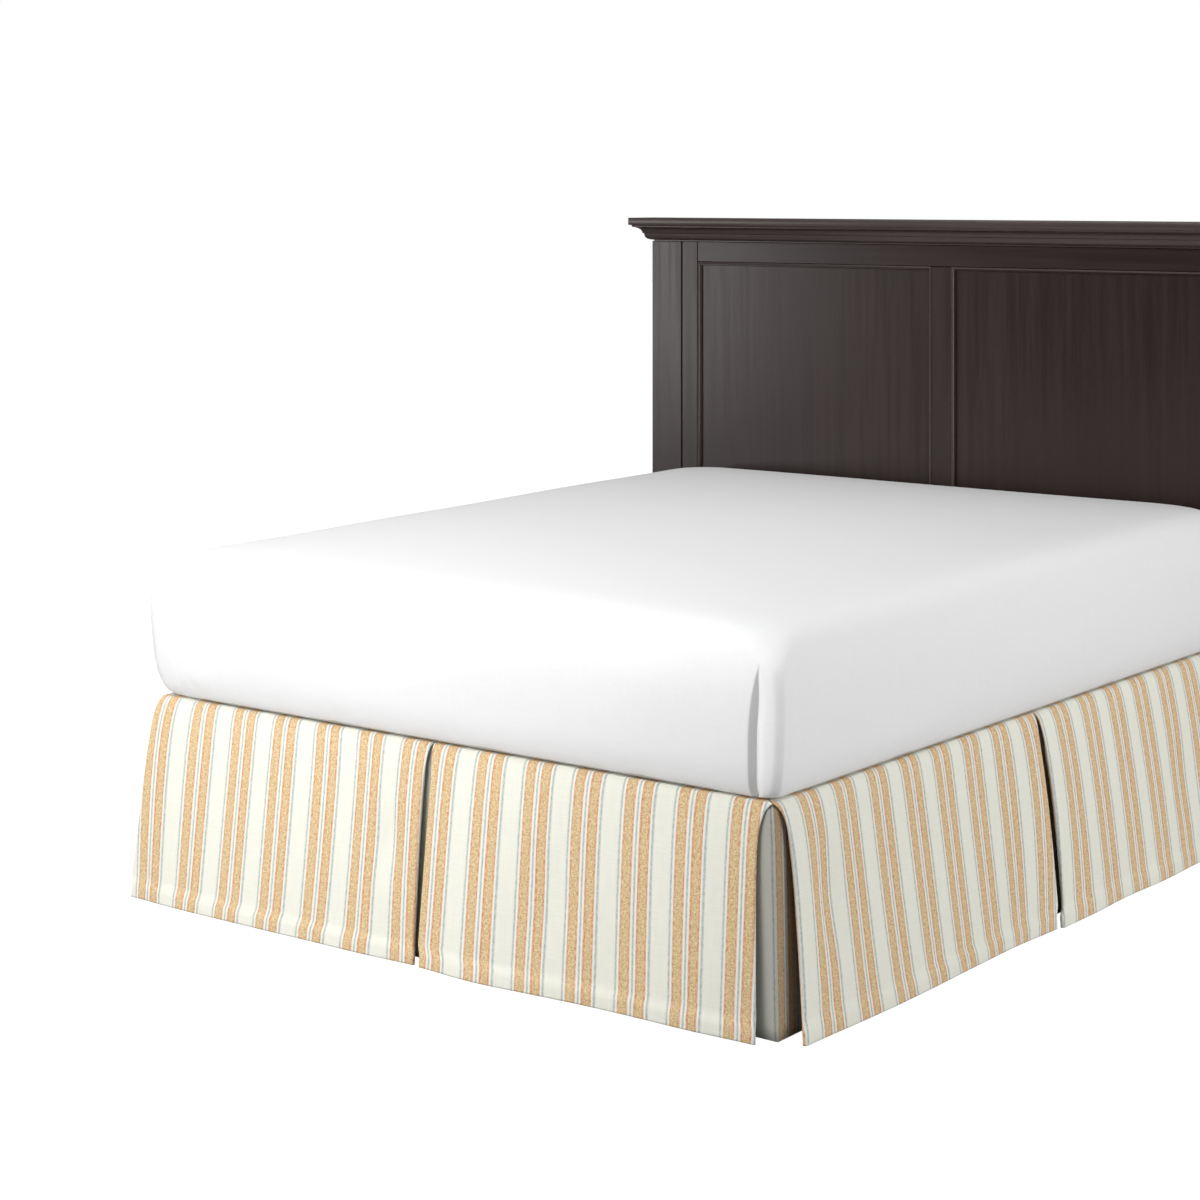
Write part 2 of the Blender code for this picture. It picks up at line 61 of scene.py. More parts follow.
def between(values, share):
    # a value on a smooth curve through evenly spaced values
    place = min(max(share, 0.0), 1.0) * (len(values) - 1)
    i = min(int(place), len(values) - 2)
    t = place - i
    before, a, b, after = (values[min(max(k, 0), len(values) - 1)] for k in range(i - 1, i + 3))
    slopeA, slopeB = (b - before) / 2, (after - a) / 2
    bend = 2 * t**3 - 3 * t**2
    return a * (1 + bend) - b * bend + slopeA * t * (1 - t) ** 2 - slopeB * t**2 * (1 - t)


def spread(start, end, count):
    return [start + (end - start) * i / count for i in range(count + 1)]


def quads(low, high, closed=False):
    # the corners of each face between two rows of points
    if closed:
        low, high = [*low, low[0]], [*high, high[0]]
    return list(zip(low, low[1:], high[1:], high))


def newPiece(name, mesh, sharpAngle=180):
    mesh.shade_smooth()
    if sharpAngle < 180:
        mesh.set_sharp_from_angle(angle=math.radians(sharpAngle))
    piece = bpy.data.objects.new(name, mesh)
    bpy.context.scene.collection.objects.link(piece)
    return piece


def builtPiece(name, builder, sharpAngle):
    mesh = bpy.data.meshes.new(name)
    builder.to_mesh(mesh)
    builder.free()
    return newPiece(name, mesh, sharpAngle)


def thicken(piece, thickness, offset):
    body = piece.modifiers.new("cloth thickness", "SOLIDIFY")
    body.thickness = thickness
    body.offset = offset
    return body


def finishPiece(piece, material, slot, *replaced):
    piece.data.materials.clear()
    piece.data.materials.append(material)
    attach(piece, "root")
    if replaced:
        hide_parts(*replaced)


def clothPiece(name, rows, material, slot="striped_cloth"):
    # a thin sheet in place of the node of that name. Each row says how far down the cloth it lies and gives its
    # points, each with how far across the cloth it lies.
    count = len(rows[0][1])
    points = [point for _, line in rows for point, _ in line]
    order = [range(i * count, (i + 1) * count) for i in range(len(rows))]
    faces = [quad for low, high in zip(order, order[1:]) for quad in quads(low, high)]
    mesh = bpy.data.meshes.new(f"cloth_{name}")
    mesh.from_pydata(points, [], faces)
    flat = np.array([(across, down) for down, line in rows for _, across in line])
    corners = np.zeros(len(mesh.loops), np.int32)
    mesh.loops.foreach_get("vertex_index", corners)
    layer = mesh.uv_layers.new(name="clothFlat")
    layer.data.foreach_set("uv", flat[corners].astype(np.float32).ravel())
    piece = newPiece(f"cloth_{name}", mesh)
    thicken(piece, skirt["thickness"], 0.0).use_even_offset = True
    finishPiece(piece, material, slot, name)
    return piece


class NodeSheet:
    # short ways to place and join nodes in one tree
    def __init__(self, tree):
        self.tree = tree

    def add(self, kind, *fed, **settings):
        # a node with its settings, and what its first inputs are fed
        node = self.tree.nodes.new(f"ShaderNode{kind}")
        for key, value in settings.items():
            setattr(node, key, value)
        for socket, value in zip(node.inputs, fed):
            self.feed(socket, value)
        return node

    def feed(self, socket, value):
        if isinstance(value, (int, float, tuple)):
            socket.default_value = value
        else:
            self.tree.links.new(value, socket)

    def math(self, operation, *values, clamp=False):
        return self.add("Math", *values, operation=operation, use_clamp=clamp).outputs[0]

    def times(self, a, b):
        return self.math("MULTIPLY", a, b)

    def ranged(self, value, low, high, toLow=0.0, toHigh=1.0, curve="SMOOTHSTEP"):
        return self.add("MapRange", value, low, high, toLow, toHigh, interpolation_type=curve).outputs[0]

    def mix(self, share, a, b, blend="MIX"):
        node = self.add("Mix", share, data_type="RGBA", blend_type=blend)
        self.feed(node.inputs[6], a)
        self.feed(node.inputs[7], b)
        return node.outputs[2]

    def noise(self, vector, scale, detail=2.0, roughness=0.5):
        return self.add("TexNoise", vector, 0.0, scale, detail, roughness).outputs["Fac"]

    def stretched(self, vector, sizes, shift=(0, 0, 0)):
        return self.add("VectorMath", vector, sizes, shift, operation="MULTIPLY_ADD").outputs[0]

    def grouped(self, group, vector):
        return self.add("Group", vector, node_tree=group).outputs

    def split(self, vector):
        return self.add("SeparateXYZ", vector).outputs

    def ramp(self, value, stops):
        node = self.add("ValToRGB", value)
        marks = node.color_ramp.elements
        for spot, colour in stops[1:-1]:
            marks.new(spot)
        for mark, (spot, colour) in zip(marks, stops):
            mark.position = spot
            mark.color = opaque(colour)
        return node.outputs["Color"]


def opaque(colour, share=1.0):
    return (*[value * share for value in colour], 1.0)


def startMaterial(name, settings):
    # a new material, its node sheet and the inputs of its shader
    made = bpy.data.materials.new(name)
    made.use_nodes = True
    surface = made.node_tree.nodes["Principled BSDF"].inputs
    for label, value in settings.items():
        surface[label].default_value = value
    return made, NodeSheet(made.node_tree), surface


view = {
    "place": (3.156, -4.88, 1.5058),
    "turn": 39.43,
    "lens": 76.56,
    "sensor": 36.0,
    "shift": (0.1417, -0.341),
}

studio = {
    "horizon": 0.13, "zenith": 0.52,
    "floorSize": 60.0, "floorAlbedo": 0.3,
}

# Softboxes: where each stands, the point it faces, its side and its power in watts. "mirrored" says whether
# glossy faces show it, and "lights" whether it lights matt ones.
softboxes = {
    "key": {"place": (-0.5, -3.0, 1.22), "aim": (-0.1, -1.0, 0.4), "size": 1.6, "power": 42.5,
            "mirrored": False, "lights": True},
    "top": {"place": (-0.75, -1.5, 3.4), "aim": (-0.3, -0.5, 0.7), "size": 2.0, "power": 41.0,
            "mirrored": True, "lights": True},
    "side": {"place": (5.5, 0.2, 1.3), "aim": (0.7, 0.0, 0.5), "size": 3.2, "power": 153.0,
             "mirrored": True, "lights": True},
    "rim": {"place": (-4.7, -3.7, 1.1), "aim": (-0.8, 1.0, 1.2), "size": 1.5, "power": 58.0,
            "mirrored": True, "lights": False},
}


def addSoftbox(name, row):
    lamp = bpy.data.lights.new(name, "AREA")
    lamp.shape = "SQUARE"
    lamp.size = row["size"]
    lamp.energy = row["power"]
    holder = bpy.data.objects.new(name, lamp)
    holder.location = row["place"]
    facing = Vector(row["aim"]) - Vector(row["place"])
    holder.rotation_euler = facing.to_track_quat("-Z", "Y").to_euler()
    holder.visible_camera = False
    holder.visible_glossy = row["mirrored"]
    holder.visible_diffuse = row["lights"]
    bpy.context.scene.collection.objects.link(holder)


def addWorld():
    # pure white to the camera, and to what it lights a soft grey that is brighter overhead
    world = bpy.data.worlds.new("studio")
    world.use_nodes = True
    sheet = NodeSheet(world.node_tree)
    upward = sheet.split(sheet.add("TexCoord").outputs["Generated"])[2]
    strength = sheet.ranged(upward, 0.0, 1.0, studio["horizon"], studio["zenith"], "LINEAR")
    lit = sheet.add("Background", opaque((1, 1, 1)), strength)
    seen = sheet.add("Background", opaque((1, 1, 1)), 1.0)
    cameraRay = sheet.add("LightPath").outputs["Is Camera Ray"]
    pick = sheet.add("MixShader", cameraRay, lit.outputs[0], seen.outputs[0])
    sheet.feed(world.node_tree.nodes["World Output"].inputs["Surface"], pick.outputs[0])
    bpy.context.scene.world = world


def addFloor():
    half = studio["floorSize"] / 2
    mesh = bpy.data.meshes.new("floor")
    mesh.from_pydata([(-half, -half, 0), (half, -half, 0), (half, half, 0), (-half, half, 0)], [], [(0, 1, 2, 3)])
    pale, sheet, surface = startMaterial("pale floor", {
        "Base Color": opaque((1, 1, 1), studio["floorAlbedo"]), "Roughness": 1.0,
        "Specular IOR Level": 0.0, "Emission Color": opaque((1, 1, 1)),
    })
    cameraRay = sheet.add("LightPath").outputs["Is Camera Ray"]
    sheet.feed(surface["Emission Strength"], cameraRay)
    mesh.materials.append(pale)
    newPiece("floor", mesh)


def buildStudio():
    scene = bpy.context.scene
    camera = bpy.data.objects.new("camera", bpy.data.cameras.new("camera"))
    camera.location = view["place"]
    camera.rotation_euler = (math.radians(90), 0, math.radians(view["turn"]))
    camera.data.sensor_width = view["sensor"]
    camera.data.lens = view["lens"]
    camera.data.shift_x, camera.data.shift_y = view["shift"]
    scene.collection.objects.link(camera)
    scene.camera = camera
    scene.view_settings.view_transform = "Standard"
    addWorld()
    addFloor()
    for name, row in softboxes.items():
        addSoftbox(name, row)


buildStudio()
print("studio and camera are set")


def startGroup(name, given, results):
    # an effect of one vector, with its named results
    group = bpy.data.node_groups.new(name, "ShaderNodeTree")
    group.interface.new_socket(given, in_out="INPUT", socket_type="NodeSocketVector")
    for label in results:
        group.interface.new_socket(label, in_out="OUTPUT", socket_type="NodeSocketFloat")
    entry, out = (group.nodes.new(kind) for kind in ("NodeGroupInput", "NodeGroupOutput"))
    return group, NodeSheet(group), entry.outputs[given], out.inputs


# Plain linen weave over the cloth's flat coordinates, in metres.
weave = {"threadsPerMetre": 900.0, "slubLength": 14.0, "slubWidth": 420.0}


def buildWeaveGroup():
    group, sheet, flat, out = startGroup("linen weave", "Flat", ("Height", "Tone"))
    long, wide = weave["slubLength"], weave["slubWidth"]
    across = sheet.noise(sheet.stretched(flat, (wide, long, 1)), 1.0, 2.0, 0.6)
    along = sheet.noise(sheet.stretched(flat, (long * 1.6, wide, 1), (3.1, 7.7, 0)), 1.0, 2.0, 0.6)
    turn = math.pi * weave["threadsPerMetre"]
    warp, weft = (sheet.math("SINE", sheet.times(part, turn)) for part in sheet.split(flat)[:2])
    basket = sheet.math("MULTIPLY_ADD", sheet.times(warp, weft), 0.5, 0.5)
    slubs = sheet.math("ADD", across, along)
    sheet.feed(out["Height"], sheet.math("MULTIPLY_ADD", basket, 0.6, slubs))
    sheet.feed(out["Tone"], sheet.ranged(slubs, 0.75, 1.25))
    return group


# Slubbed yarn of the ochre bands: short flecks, upright streaks, soft patches and level slubs. Each has its
# counts in a metre across and up, and the noise levels where it starts and is full.
heather = {
    "Flecks": (260.0, 380.0, 0.49, 0.62), "Streaks": (330.0, 110.0, 0.42, 0.62),
    "Patches": (150.0, 190.0, 0.42, 0.6), "Slubs": (170.0, 460.0, 0.52, 0.66),
}


def buildHeatherGroup():
    group, sheet, flat, out = startGroup("heathered yarn", "Flat", heather)
    for k, (label, (across, up, low, high)) in enumerate(heather.items()):
        shift = 1.3 + 3.7 * k
        mottle = sheet.noise(sheet.stretched(flat, (across, up, 1), (shift, shift, 0)), 1.0, 1.0, 0.6)
        sheet.feed(out[label], sheet.ranged(mottle, low, high))
    return group


# Straight wood grain that runs along X of the vector it is given.
grain = {"along": 2.2, "across": 60.0, "pores": 420.0}


def buildGrainGroup():
    group, sheet, board, out = startGroup("wood grain", "Vector", ("Figure", "Pores"))
    along, across, pores = grain["along"], grain["across"], grain["pores"]
    figure = sheet.noise(sheet.stretched(board, (along, across, across)), 1.0, 4.0, 0.6)
    holes = sheet.noise(sheet.stretched(board, (along * 6, pores, pores)), 1.0, 2.0, 0.5)
    sheet.feed(out["Figure"], sheet.ranged(figure, 0.3, 0.7))
    sheet.feed(out["Pores"], sheet.ranged(holes, 0.58, 0.75))
    return group


weaveGroup = buildWeaveGroup()
heatherGroup = buildHeatherGroup()
grainGroup = buildGrainGroup()


def finishMaterial(made, sheet, colour, height, strength, distance):
    # the colour, and the relief of a height field
    surface = made.node_tree.nodes["Principled BSDF"].inputs
    sheet.feed(surface["Base Color"], colour)
    relief = sheet.add("Bump")
    for label, value in (("Strength", strength), ("Distance", distance), ("Height", height)):
        sheet.feed(relief.inputs[label], value)
    sheet.feed(surface["Normal"], relief.outputs[0])
    return made


stripes = {
    "ivory": (0.89, 0.888, 0.79),
    "white": (0.9, 0.885, 0.815),
    "pin": (0.59, 0.635, 0.59),
    "edge": (0.81, 0.53, 0.33),
    "warmEdge": (0.8, 0.475, 0.27),
    "heart": (0.77, 0.61, 0.325),
    "straw": (0.86, 0.745, 0.46),
    "flame": (0.56, 0.315, 0.11),
    "rust": (0.6, 0.23, 0.095),
    "blush": (0.88, 0.66, 0.52),
    "dusk": (0.37, 0.44, 0.43),
    "repeat": 0.1153,
    "wobble": 0.0085,
}
# how fully the yarn takes each colour that it is touched with
touches = {"straw": 0.7, "flame": 0.72, "blush": 0.45, "rust": 0.75, "dusk": 0.65}

# One repeat of the stripe, in shares of the repeat from the middle of the ground to the next. The pair of
# bands is centred at one half.
stripeStops = (
    (0.0, "ivory"), (0.16, "ivory"), (0.184, "pin"), (0.194, "pin"), (0.212, "white"), (0.238, "white"),
    (0.25, "edge"), (0.266, "edge"), (0.292, "heart"), (0.392, "heart"), (0.412, "edge"), (0.432, "edge"),
    (0.446, "white"), (0.475, "white"), (0.489, "pin"), (0.506, "pin"), (0.522, "white"), (0.548, "white"),
    (0.56, "warmEdge"), (0.584, "warmEdge"), (0.608, "heart"), (0.7, "heart"), (0.72, "edge"),
    (0.742, "warmEdge"), (0.754, "white"), (0.776, "white"), (0.799, "pin"), (0.814, "pin"),
    (0.84, "ivory"), (1.0, "ivory"),
)


def stripedCloth(name, depth):
    made, sheet, _ = startMaterial(name, {"Roughness": 0.88, "Sheen Weight": 0.12, "Specular IOR Level": 0.2})
    flat = sheet.add("UVMap", uv_map="clothFlat").outputs[0]
    threads = sheet.grouped(weaveGroup, flat)
    yarn = sheet.grouped(heatherGroup, flat)
    ragged = sheet.noise(sheet.stretched(flat, (90, 330, 1)), 1.0, 2.0, 0.7)
    across = sheet.math("DIVIDE", sheet.split(flat)[0], stripes["repeat"])
    across = sheet.math("ADD", across, sheet.math("MULTIPLY_ADD", ragged, 2 * stripes["wobble"], -stripes["wobble"]))
    share = sheet.math("FRACT", sheet.math("ADD", across, 0.5))
    striped = sheet.ramp(share, [(spot, stripes[tone]) for spot, tone in stripeStops])
    # red marks the bands, green their edges and blue the pin stripes
    marks = {"heart": (1, 0, 0), "edge": (1, 1, 0), "warmEdge": (1, 1, 0), "pin": (0, 0, 1)}
    marked = sheet.ramp(share, [(spot, marks.get(tone, (0, 0, 0))) for spot, tone in stripeStops])
    band, edge, pin = sheet.add("SeparateColor", marked).outputs

    def touched(base, mask, tone):
        return sheet.mix(sheet.math("MULTIPLY", mask, touches[tone], clamp=True), base, opaque(stripes[tone]))

    inner = sheet.math("SUBTRACT", 1.0, sheet.times(edge, 0.7))
    yarnColour = touched(striped, sheet.times(yarn["Patches"], inner), "straw")
    yarnColour = touched(yarnColour, sheet.times(yarn["Flecks"], inner), "flame")
    yarnColour = touched(yarnColour, yarn["Slubs"], "blush")
    streaky = sheet.math("MULTIPLY_ADD", edge, 0.65, 0.3)
    yarnColour = touched(yarnColour, sheet.times(yarn["Streaks"], streaky), "rust")
    patterned = sheet.mix(band, striped, yarnColour)
    patterned = touched(patterned, sheet.times(yarn["Streaks"], pin), "dusk")
    # depth scales the whole colour: at 1 it is the linen's own colour, below 1 it is painted shade
    shade = sheet.math("MULTIPLY_ADD", threads["Tone"], 0.05 * depth, 0.965 * depth)
    return finishMaterial(made, sheet, sheet.mix(1.0, patterned, shade, "MULTIPLY"), threads["Height"], 0.25, 0.0006)


def plainCloth(name, tint, relief, roughness, specular):
    made, sheet, _ = startMaterial(name, {"Roughness": roughness, "Specular IOR Level": specular})
    threads = sheet.grouped(weaveGroup, sheet.add("UVMap", uv_map="clothFlat").outputs[0])
    tone = sheet.mix(threads["Tone"], opaque(tint, 0.975), opaque(tint))
    return finishMaterial(made, sheet, tone, threads["Height"], relief, 0.0004)


def espressoWood(name, turned, tints, gloss):
    # dark stained wood with its grain up the board, or along it where it is turned
    made, sheet, surface = startMaterial(name, {"Specular IOR Level": gloss})
    axes = sheet.split(sheet.add("TexCoord").outputs["Object"])
    order = (0, 2, 1) if turned else (2, 0, 1)
    board = sheet.add("CombineXYZ", *[axes[axis] for axis in order]).outputs[0]
    lines = sheet.grouped(grainGroup, board)
    stained = sheet.mix(lines["Figure"], opaque(tints[0]), opaque(tints[1]))
    dark = sheet.mix(sheet.times(lines["Pores"], 0.5), stained, opaque(tints[0], 0.6))
    sheet.feed(surface["Roughness"], sheet.math("MULTIPLY_ADD", lines["Figure"], 0.06, 0.28))
    return finishMaterial(made, sheet, dark, sheet.math("SUBTRACT", lines["Figure"], lines["Pores"]), 0.06, 0.0005)


def darkSteel():
    made, sheet, surface = startMaterial("dark steel", {"Metallic": 0.7})
    mottle = sheet.noise(sheet.add("TexCoord").outputs["Object"], 180.0, 3.0)
    grey = sheet.mix(mottle, opaque((0.035, 0.035, 0.037)), opaque((0.06, 0.06, 0.063)))
    sheet.feed(surface["Roughness"], sheet.math("MULTIPLY_ADD", mottle, 0.2, 0.32))
    return finishMaterial(made, sheet, grey, mottle, 0.1, 0.0003)


def ticking():
    made, sheet, _ = startMaterial("base ticking", {"Roughness": 0.9})
    solid = sheet.add("TexCoord").outputs["Object"]
    threads = sheet.noise(sheet.stretched(solid, (300, 300, 900)), 1.0)
    oat = sheet.mix(threads, opaque((0.56, 0.55, 0.51)), opaque((0.66, 0.65, 0.61)))
    return finishMaterial(made, sheet, oat, threads, 0.3, 0.0006)


stripedLinen = stripedCloth("striped linen", 1.0)
# the underlays' linen is painted at about half the brightness: painted shade for the deep pleats and split corners
# they hang in
underlayLinenPaintedShade = stripedCloth("striped linen of the underlays with painted shade", 0.52)
deckCloth = plainCloth("deck cloth", (0.84, 0.835, 0.77), 0.3, 0.9, 0.2)
whiteSheet = plainCloth("white sheet", (0.92, 0.92, 0.925), 0.05, 0.85, 0.15)
woodTints = ((0.0165, 0.0075, 0.0062), (0.024, 0.011, 0.0092))
# the mouldings are the same espresso wood, painted about three times lighter and greyer: painted light for the
# glints they catch
mouldingTintsPaintedLight = ((0.052, 0.036, 0.0325), (0.068, 0.048, 0.044))
woodUp = espressoWood("espresso wood upright", False, woodTints, 0.45)
woodAlong = espressoWood("espresso wood lengthways", True, woodTints, 0.45)
woodMouldingPaintedLight = espressoWood("espresso wood moulding with painted light", True, mouldingTintsPaintedLight, 0.5)
steel = darkSteel()
baseTicking = ticking()
print("materials are ready")


# The queen-size base, as half its width and half its length.
bed = {"halfWidth": 0.762, "halfLength": 1.016, "baseTop": 0.417, "baseEdge": 0.012}

skirt = {
    "thickness": 0.0012, "crest": 0.4243, "drop": 0.4225,
    "tabReaches": (0.06, 0.048, 0.036, 0.026, 0.016, 0.008, 0.003), "tabDip": 0.0017, "tabLevel": 0.016,
    "standOff": 0.0068, "softness": 0.01, "arch": 0.6,
    "pullDepth": 0.03, "leanCurve": 1.5,
    "hemBreak": 0.045, "hemBreakHeight": 0.026,
    "foldRadius": 0.004, "foldReturn": 0.013, "foldTight": 0.00225, "foldStarts": 0.02,
    "turnedUnder": 0.012, "foldOpensOver": 0.1, "foldSteps": 6, "returnSteps": 3,
    "mitreGap": 0.0025, "footPleat": -0.0118, "sidePleat": -0.003, "pleatHalf": 0.0018, "headEnd": 1.008,
    "columns": 116,
    "driftDepth": 0.05, "driftCurve": 2.5, "waveCurve": 1.5,
}

# Depths below the crest where a face has a row of points: close together over the roll and the hem break.
faceDepths = (
    [0.0, 0.0003, 0.0008, 0.0015, 0.003, 0.0045, 0.006, 0.0085, 0.011, 0.014, 0.018, 0.023, 0.028, 0.034, 0.041]
    + spread(0.048, 0.364, 30) + spread(0.3705, skirt["drop"], 14)
)

# Soft hollows and slow waves of a face. Places and half widths are shares of the panel's length.
furrows = {
    "byThePleat": {"place": 0.9, "halfWidth": 0.045, "depth": 0.006, "top": 0.1, "bottom": 0.3,
                   "waveHeight": 0.0015, "waves": 1.0},
    "byTheCorner": {"place": 0.11, "halfWidth": 0.04, "depth": 0.008, "top": 0.05, "bottom": 0.33,
                    "waveHeight": 0.002, "waves": 1.2},
    "shallow": {"place": 0.4, "halfWidth": 0.08, "depth": 0.004, "top": 0.12, "bottom": 0.4,
                "waveHeight": 0.002, "waves": 1.5},
    "wavy": {"place": 0.62, "halfWidth": 0.07, "depth": 0.005, "top": 0.1, "bottom": 0.38,
             "waveHeight": 0.0045, "waves": 2.6},
}

# One entry for each face panel. "ends" says what it starts and ends at along its edge of the bed, and the other
# pairs are values there. "firstPair" and "repeat" place the stripes at the crest, and "bow", "drift" and
# "swing" say how far the stripes wander below the roll, towards the floor and at the hem break.
facePanels = {
    "foot_panel_left": {
        "side": "foot", "ends": ("corner", "pleat"),
        "hemOuts": (0.067, 0.0715, 0.07, 0.069, 0.067, 0.065, 0.057), "hemKicks": (0.004, 0.004),
        "pulls": (-0.016, -0.008), "leans": (-0.026, -0.001), "swings": (0.008, 0.0045),
        "foldDepths": (0.012, 0.012), "furrow": "byThePleat",
        "firstPair": -0.7399, "repeat": 0.1148,
        "bow": (-0.0125, 0.008, 0.008, 0.014, -0.0015),
        "drift": (0.0115, -0.006, -0.0065, -0.0105, 0.0055),
        "swing": (0.002, -0.002, -0.003, -0.002, 0.0035),
    },
    "foot_panel_right": {
        "side": "foot", "ends": ("pleat", "corner"),
        "hemOuts": (0.06, 0.0665, 0.058, 0.048, 0.041, 0.0385, 0.032), "hemKicks": (0.004, 0.004),
        "pulls": (0.0095, -0.0255), "leans": (-0.01, 0.009), "swings": (0.0085, 0.001),
        "foldDepths": (0.012, 0.0052), "furrow": "shallow",
        "firstPair": 0.0235, "repeat": 0.1153,
        "bow": (-0.001, 0.005, -0.0015, -0.002, -0.005),
        "drift": (-0.0085, -0.0005, 0.0, 0.003, -0.0065),
        "swing": (0.01, 0.004, 0.0025, -0.001, 0.005),
    },
    "right_panel_foot": {
        "side": "right", "ends": ("corner", "pleat"),
        "hemOuts": (0.056, 0.062, 0.0675, 0.0707, 0.0704, 0.07, 0.0785), "hemKicks": (0.004, 0.003),
        "pulls": (0.029, -0.018), "leans": (-0.004, -0.01), "swings": (-0.007, -0.015),
        "foldDepths": (0.011, 0.012), "furrow": "byTheCorner",
        "firstPair": -0.9093, "repeat": 0.1231,
        "bow": (0.014, -0.0115, -0.015, -0.02, -0.0025),
        "drift": (-0.006, 0.024, 0.024, 0.0135, -0.046),
        "swing": (-0.002, -0.005, 0.0005, 0.0025, -0.0015),
    },
    "right_panel_head": {
        "side": "right", "ends": ("pleat", "head"),
        "hemOuts": (0.0865, 0.0884, 0.0918, 0.092, 0.1, 0.104, 0.098), "hemKicks": (0.004, 0.006),
        "pulls": (0.002, -0.002), "leans": (-0.02, -0.022), "swings": (-0.018, -0.012),
        "foldDepths": (0.01, 0.012), "furrow": "wavy",
        "firstPair": 0.101, "repeat": 0.1307,
        "bow": (-0.008, -0.0215, -0.0265, -0.03, -0.01),
        "drift": (-0.034, 0.001, -0.008, -0.018, -0.024),
        "swing": (-0.0035, -0.0065, -0.005, -0.006, -0.006),
    },
    "left_panel_foot": {
        "side": "left", "ends": ("corner", "pleat"),
        "hemOuts": (0.06, 0.066, 0.069, 0.068, 0.072, 0.073, 0.076), "hemKicks": (0.004, 0.003),
        "pulls": (0.004, -0.014), "leans": (0.012, -0.006), "swings": (-0.016, -0.012),
        "foldDepths": (0.012, 0.012), "furrow": "shallow",
        "firstPair": -0.9093, "repeat": 0.1231,
        "bow": (0.004, -0.008, -0.012, -0.014, -0.008),
        "drift": (0.01, 0.018, 0.02, 0.012, -0.006),
        "swing": (-0.014, -0.009, -0.006, -0.004, -0.01),
    },
    "left_panel_head": {
        "side": "left", "ends": ("pleat", "head"),
        "hemOuts": (0.079, 0.083, 0.082, 0.088, 0.094, 0.092, 0.088), "hemKicks": (0.003, 0.005),
        "pulls": (-0.006, -0.002), "leans": (-0.014, -0.014), "swings": (-0.008, -0.01),
        "foldDepths": (0.011, 0.012), "furrow": "wavy",
        "firstPair": 0.1, "repeat": 0.129,
        "bow": (-0.008, -0.014, -0.018, -0.016, -0.006),
        "drift": (-0.014, 0.004, -0.002, -0.008, -0.012),
        "swing": (-0.008, -0.01, -0.009, -0.01, -0.01),
    },
}


def onSide(side, along, out, height):
    # a point given along an edge of the bed, out from it, and above the floor
    if side == "foot":
        return (along, -bed["halfLength"] - out, height)
    return ((bed["halfWidth"] + out) * (1 if side == "right" else -1), along, height)


def bisectors(points):
    steps = np.diff(points, axis=0)
    steps /= np.linalg.norm(steps, axis=-1, keepdims=True)
    ways = np.concatenate([steps[:1], steps]) + np.concatenate([steps, steps[-1:]])
    return ways / np.linalg.norm(ways, axis=-1, keepdims=True)


def hemShare(depth):
    return smooth((depth - (skirt["drop"] - skirt["hemBreak"])) / skirt["hemBreakHeight"])


def faceOut(depth, flare, kick):
    edge = skirt["standOff"] * depth / (depth + skirt["softness"])
    swell = (flare - skirt["standOff"]) * (depth / skirt["drop"]) ** skirt["arch"]
    return edge + swell + kick * hemShare(depth)


def faceRelief(furrow, share, depth):
    span = (depth - furrow["top"]) / (furrow["bottom"] - furrow["top"])
    hollow = math.sin(math.pi * min(max(span, 0.0), 1.0)) ** 2
    hollow *= math.exp(-(((share - furrow["place"]) / furrow["halfWidth"]) ** 2))
    swell = math.sin(math.pi * share) * (depth / skirt["drop"]) ** skirt["waveCurve"]
    wave = math.sin(2 * math.pi * furrow["waves"] * share) * swell
    return furrow["waveHeight"] * wave - furrow["depth"] * hollow


def panelEnd(panel, end, depth, reach):
    sign, onFoot = (-1, 1)[end], panel["side"] == "foot"
    limit = skirt["headEnd"]
    if panel["ends"][end] == "corner":
        limit = sign * (bed["halfWidth" if onFoot else "halfLength"] - reach - skirt["mitreGap"])
    elif panel["ends"][end] == "pleat":
        limit = skirt["footPleat" if onFoot else "sidePleat"] - sign * skirt["pleatHalf"]
    pull = panel["pulls"][end] * (1 - math.exp(-depth / skirt["pullDepth"]))
    lean = panel["leans"][end] * (depth / skirt["drop"]) ** skirt["leanCurve"]
    return limit + pull + lean + panel["swings"][end] * hemShare(depth)


def foldAngle(radius, depth):
    # the turn of a folded edge whose free end reaches a depth behind the face
    low, high = math.pi / 2, math.pi
    for _ in range(30):
        middle = (low + high) / 2
        if radius * (1 - math.cos(middle)) + skirt["foldReturn"] * math.sin(middle) > depth:
            low = middle
        else:
            high = middle
    return high


def foldedEdge(along, sign, point, inward, depthAtHem, depth):
    # points round the folded side edge of a panel, and how far each lies along the cloth
    opened = smooth((depth - skirt["foldStarts"]) / skirt["foldOpensOver"])
    foldDepth = skirt["foldTight"] + (depthAtHem - skirt["foldTight"]) * opened
    radius = min(skirt["foldRadius"], foldDepth / 2)
    turn = foldAngle(radius, foldDepth)
    straight = along - sign * radius
    points = []
    for i in range(skirt["foldSteps"] + 1):
        angle = turn * i / skirt["foldSteps"]
        back = radius * (1 - math.cos(angle))
        points.append(((straight + sign * radius * math.sin(angle), *(point + inward * back)), radius * angle))
    for i in range(1, skirt["returnSteps"] + 1):
        length = skirt["foldReturn"] * i / skirt["returnSteps"]
        back = radius * (1 - math.cos(turn)) + length * math.sin(turn)
        tip = straight + sign * (radius * math.sin(turn) + length * math.cos(turn))
        points.append(((tip, *(point + inward * back)), radius * turn + length))
    return points


def stripeShift(panel, share, depth):
    bow = between(panel["bow"], share) * (1 - math.exp(-depth / skirt["driftDepth"]))
    drift = between(panel["drift"], share) * (depth / skirt["drop"]) ** skirt["driftCurve"]
    return bow + drift + between(panel["swing"], share) * hemShare(depth)


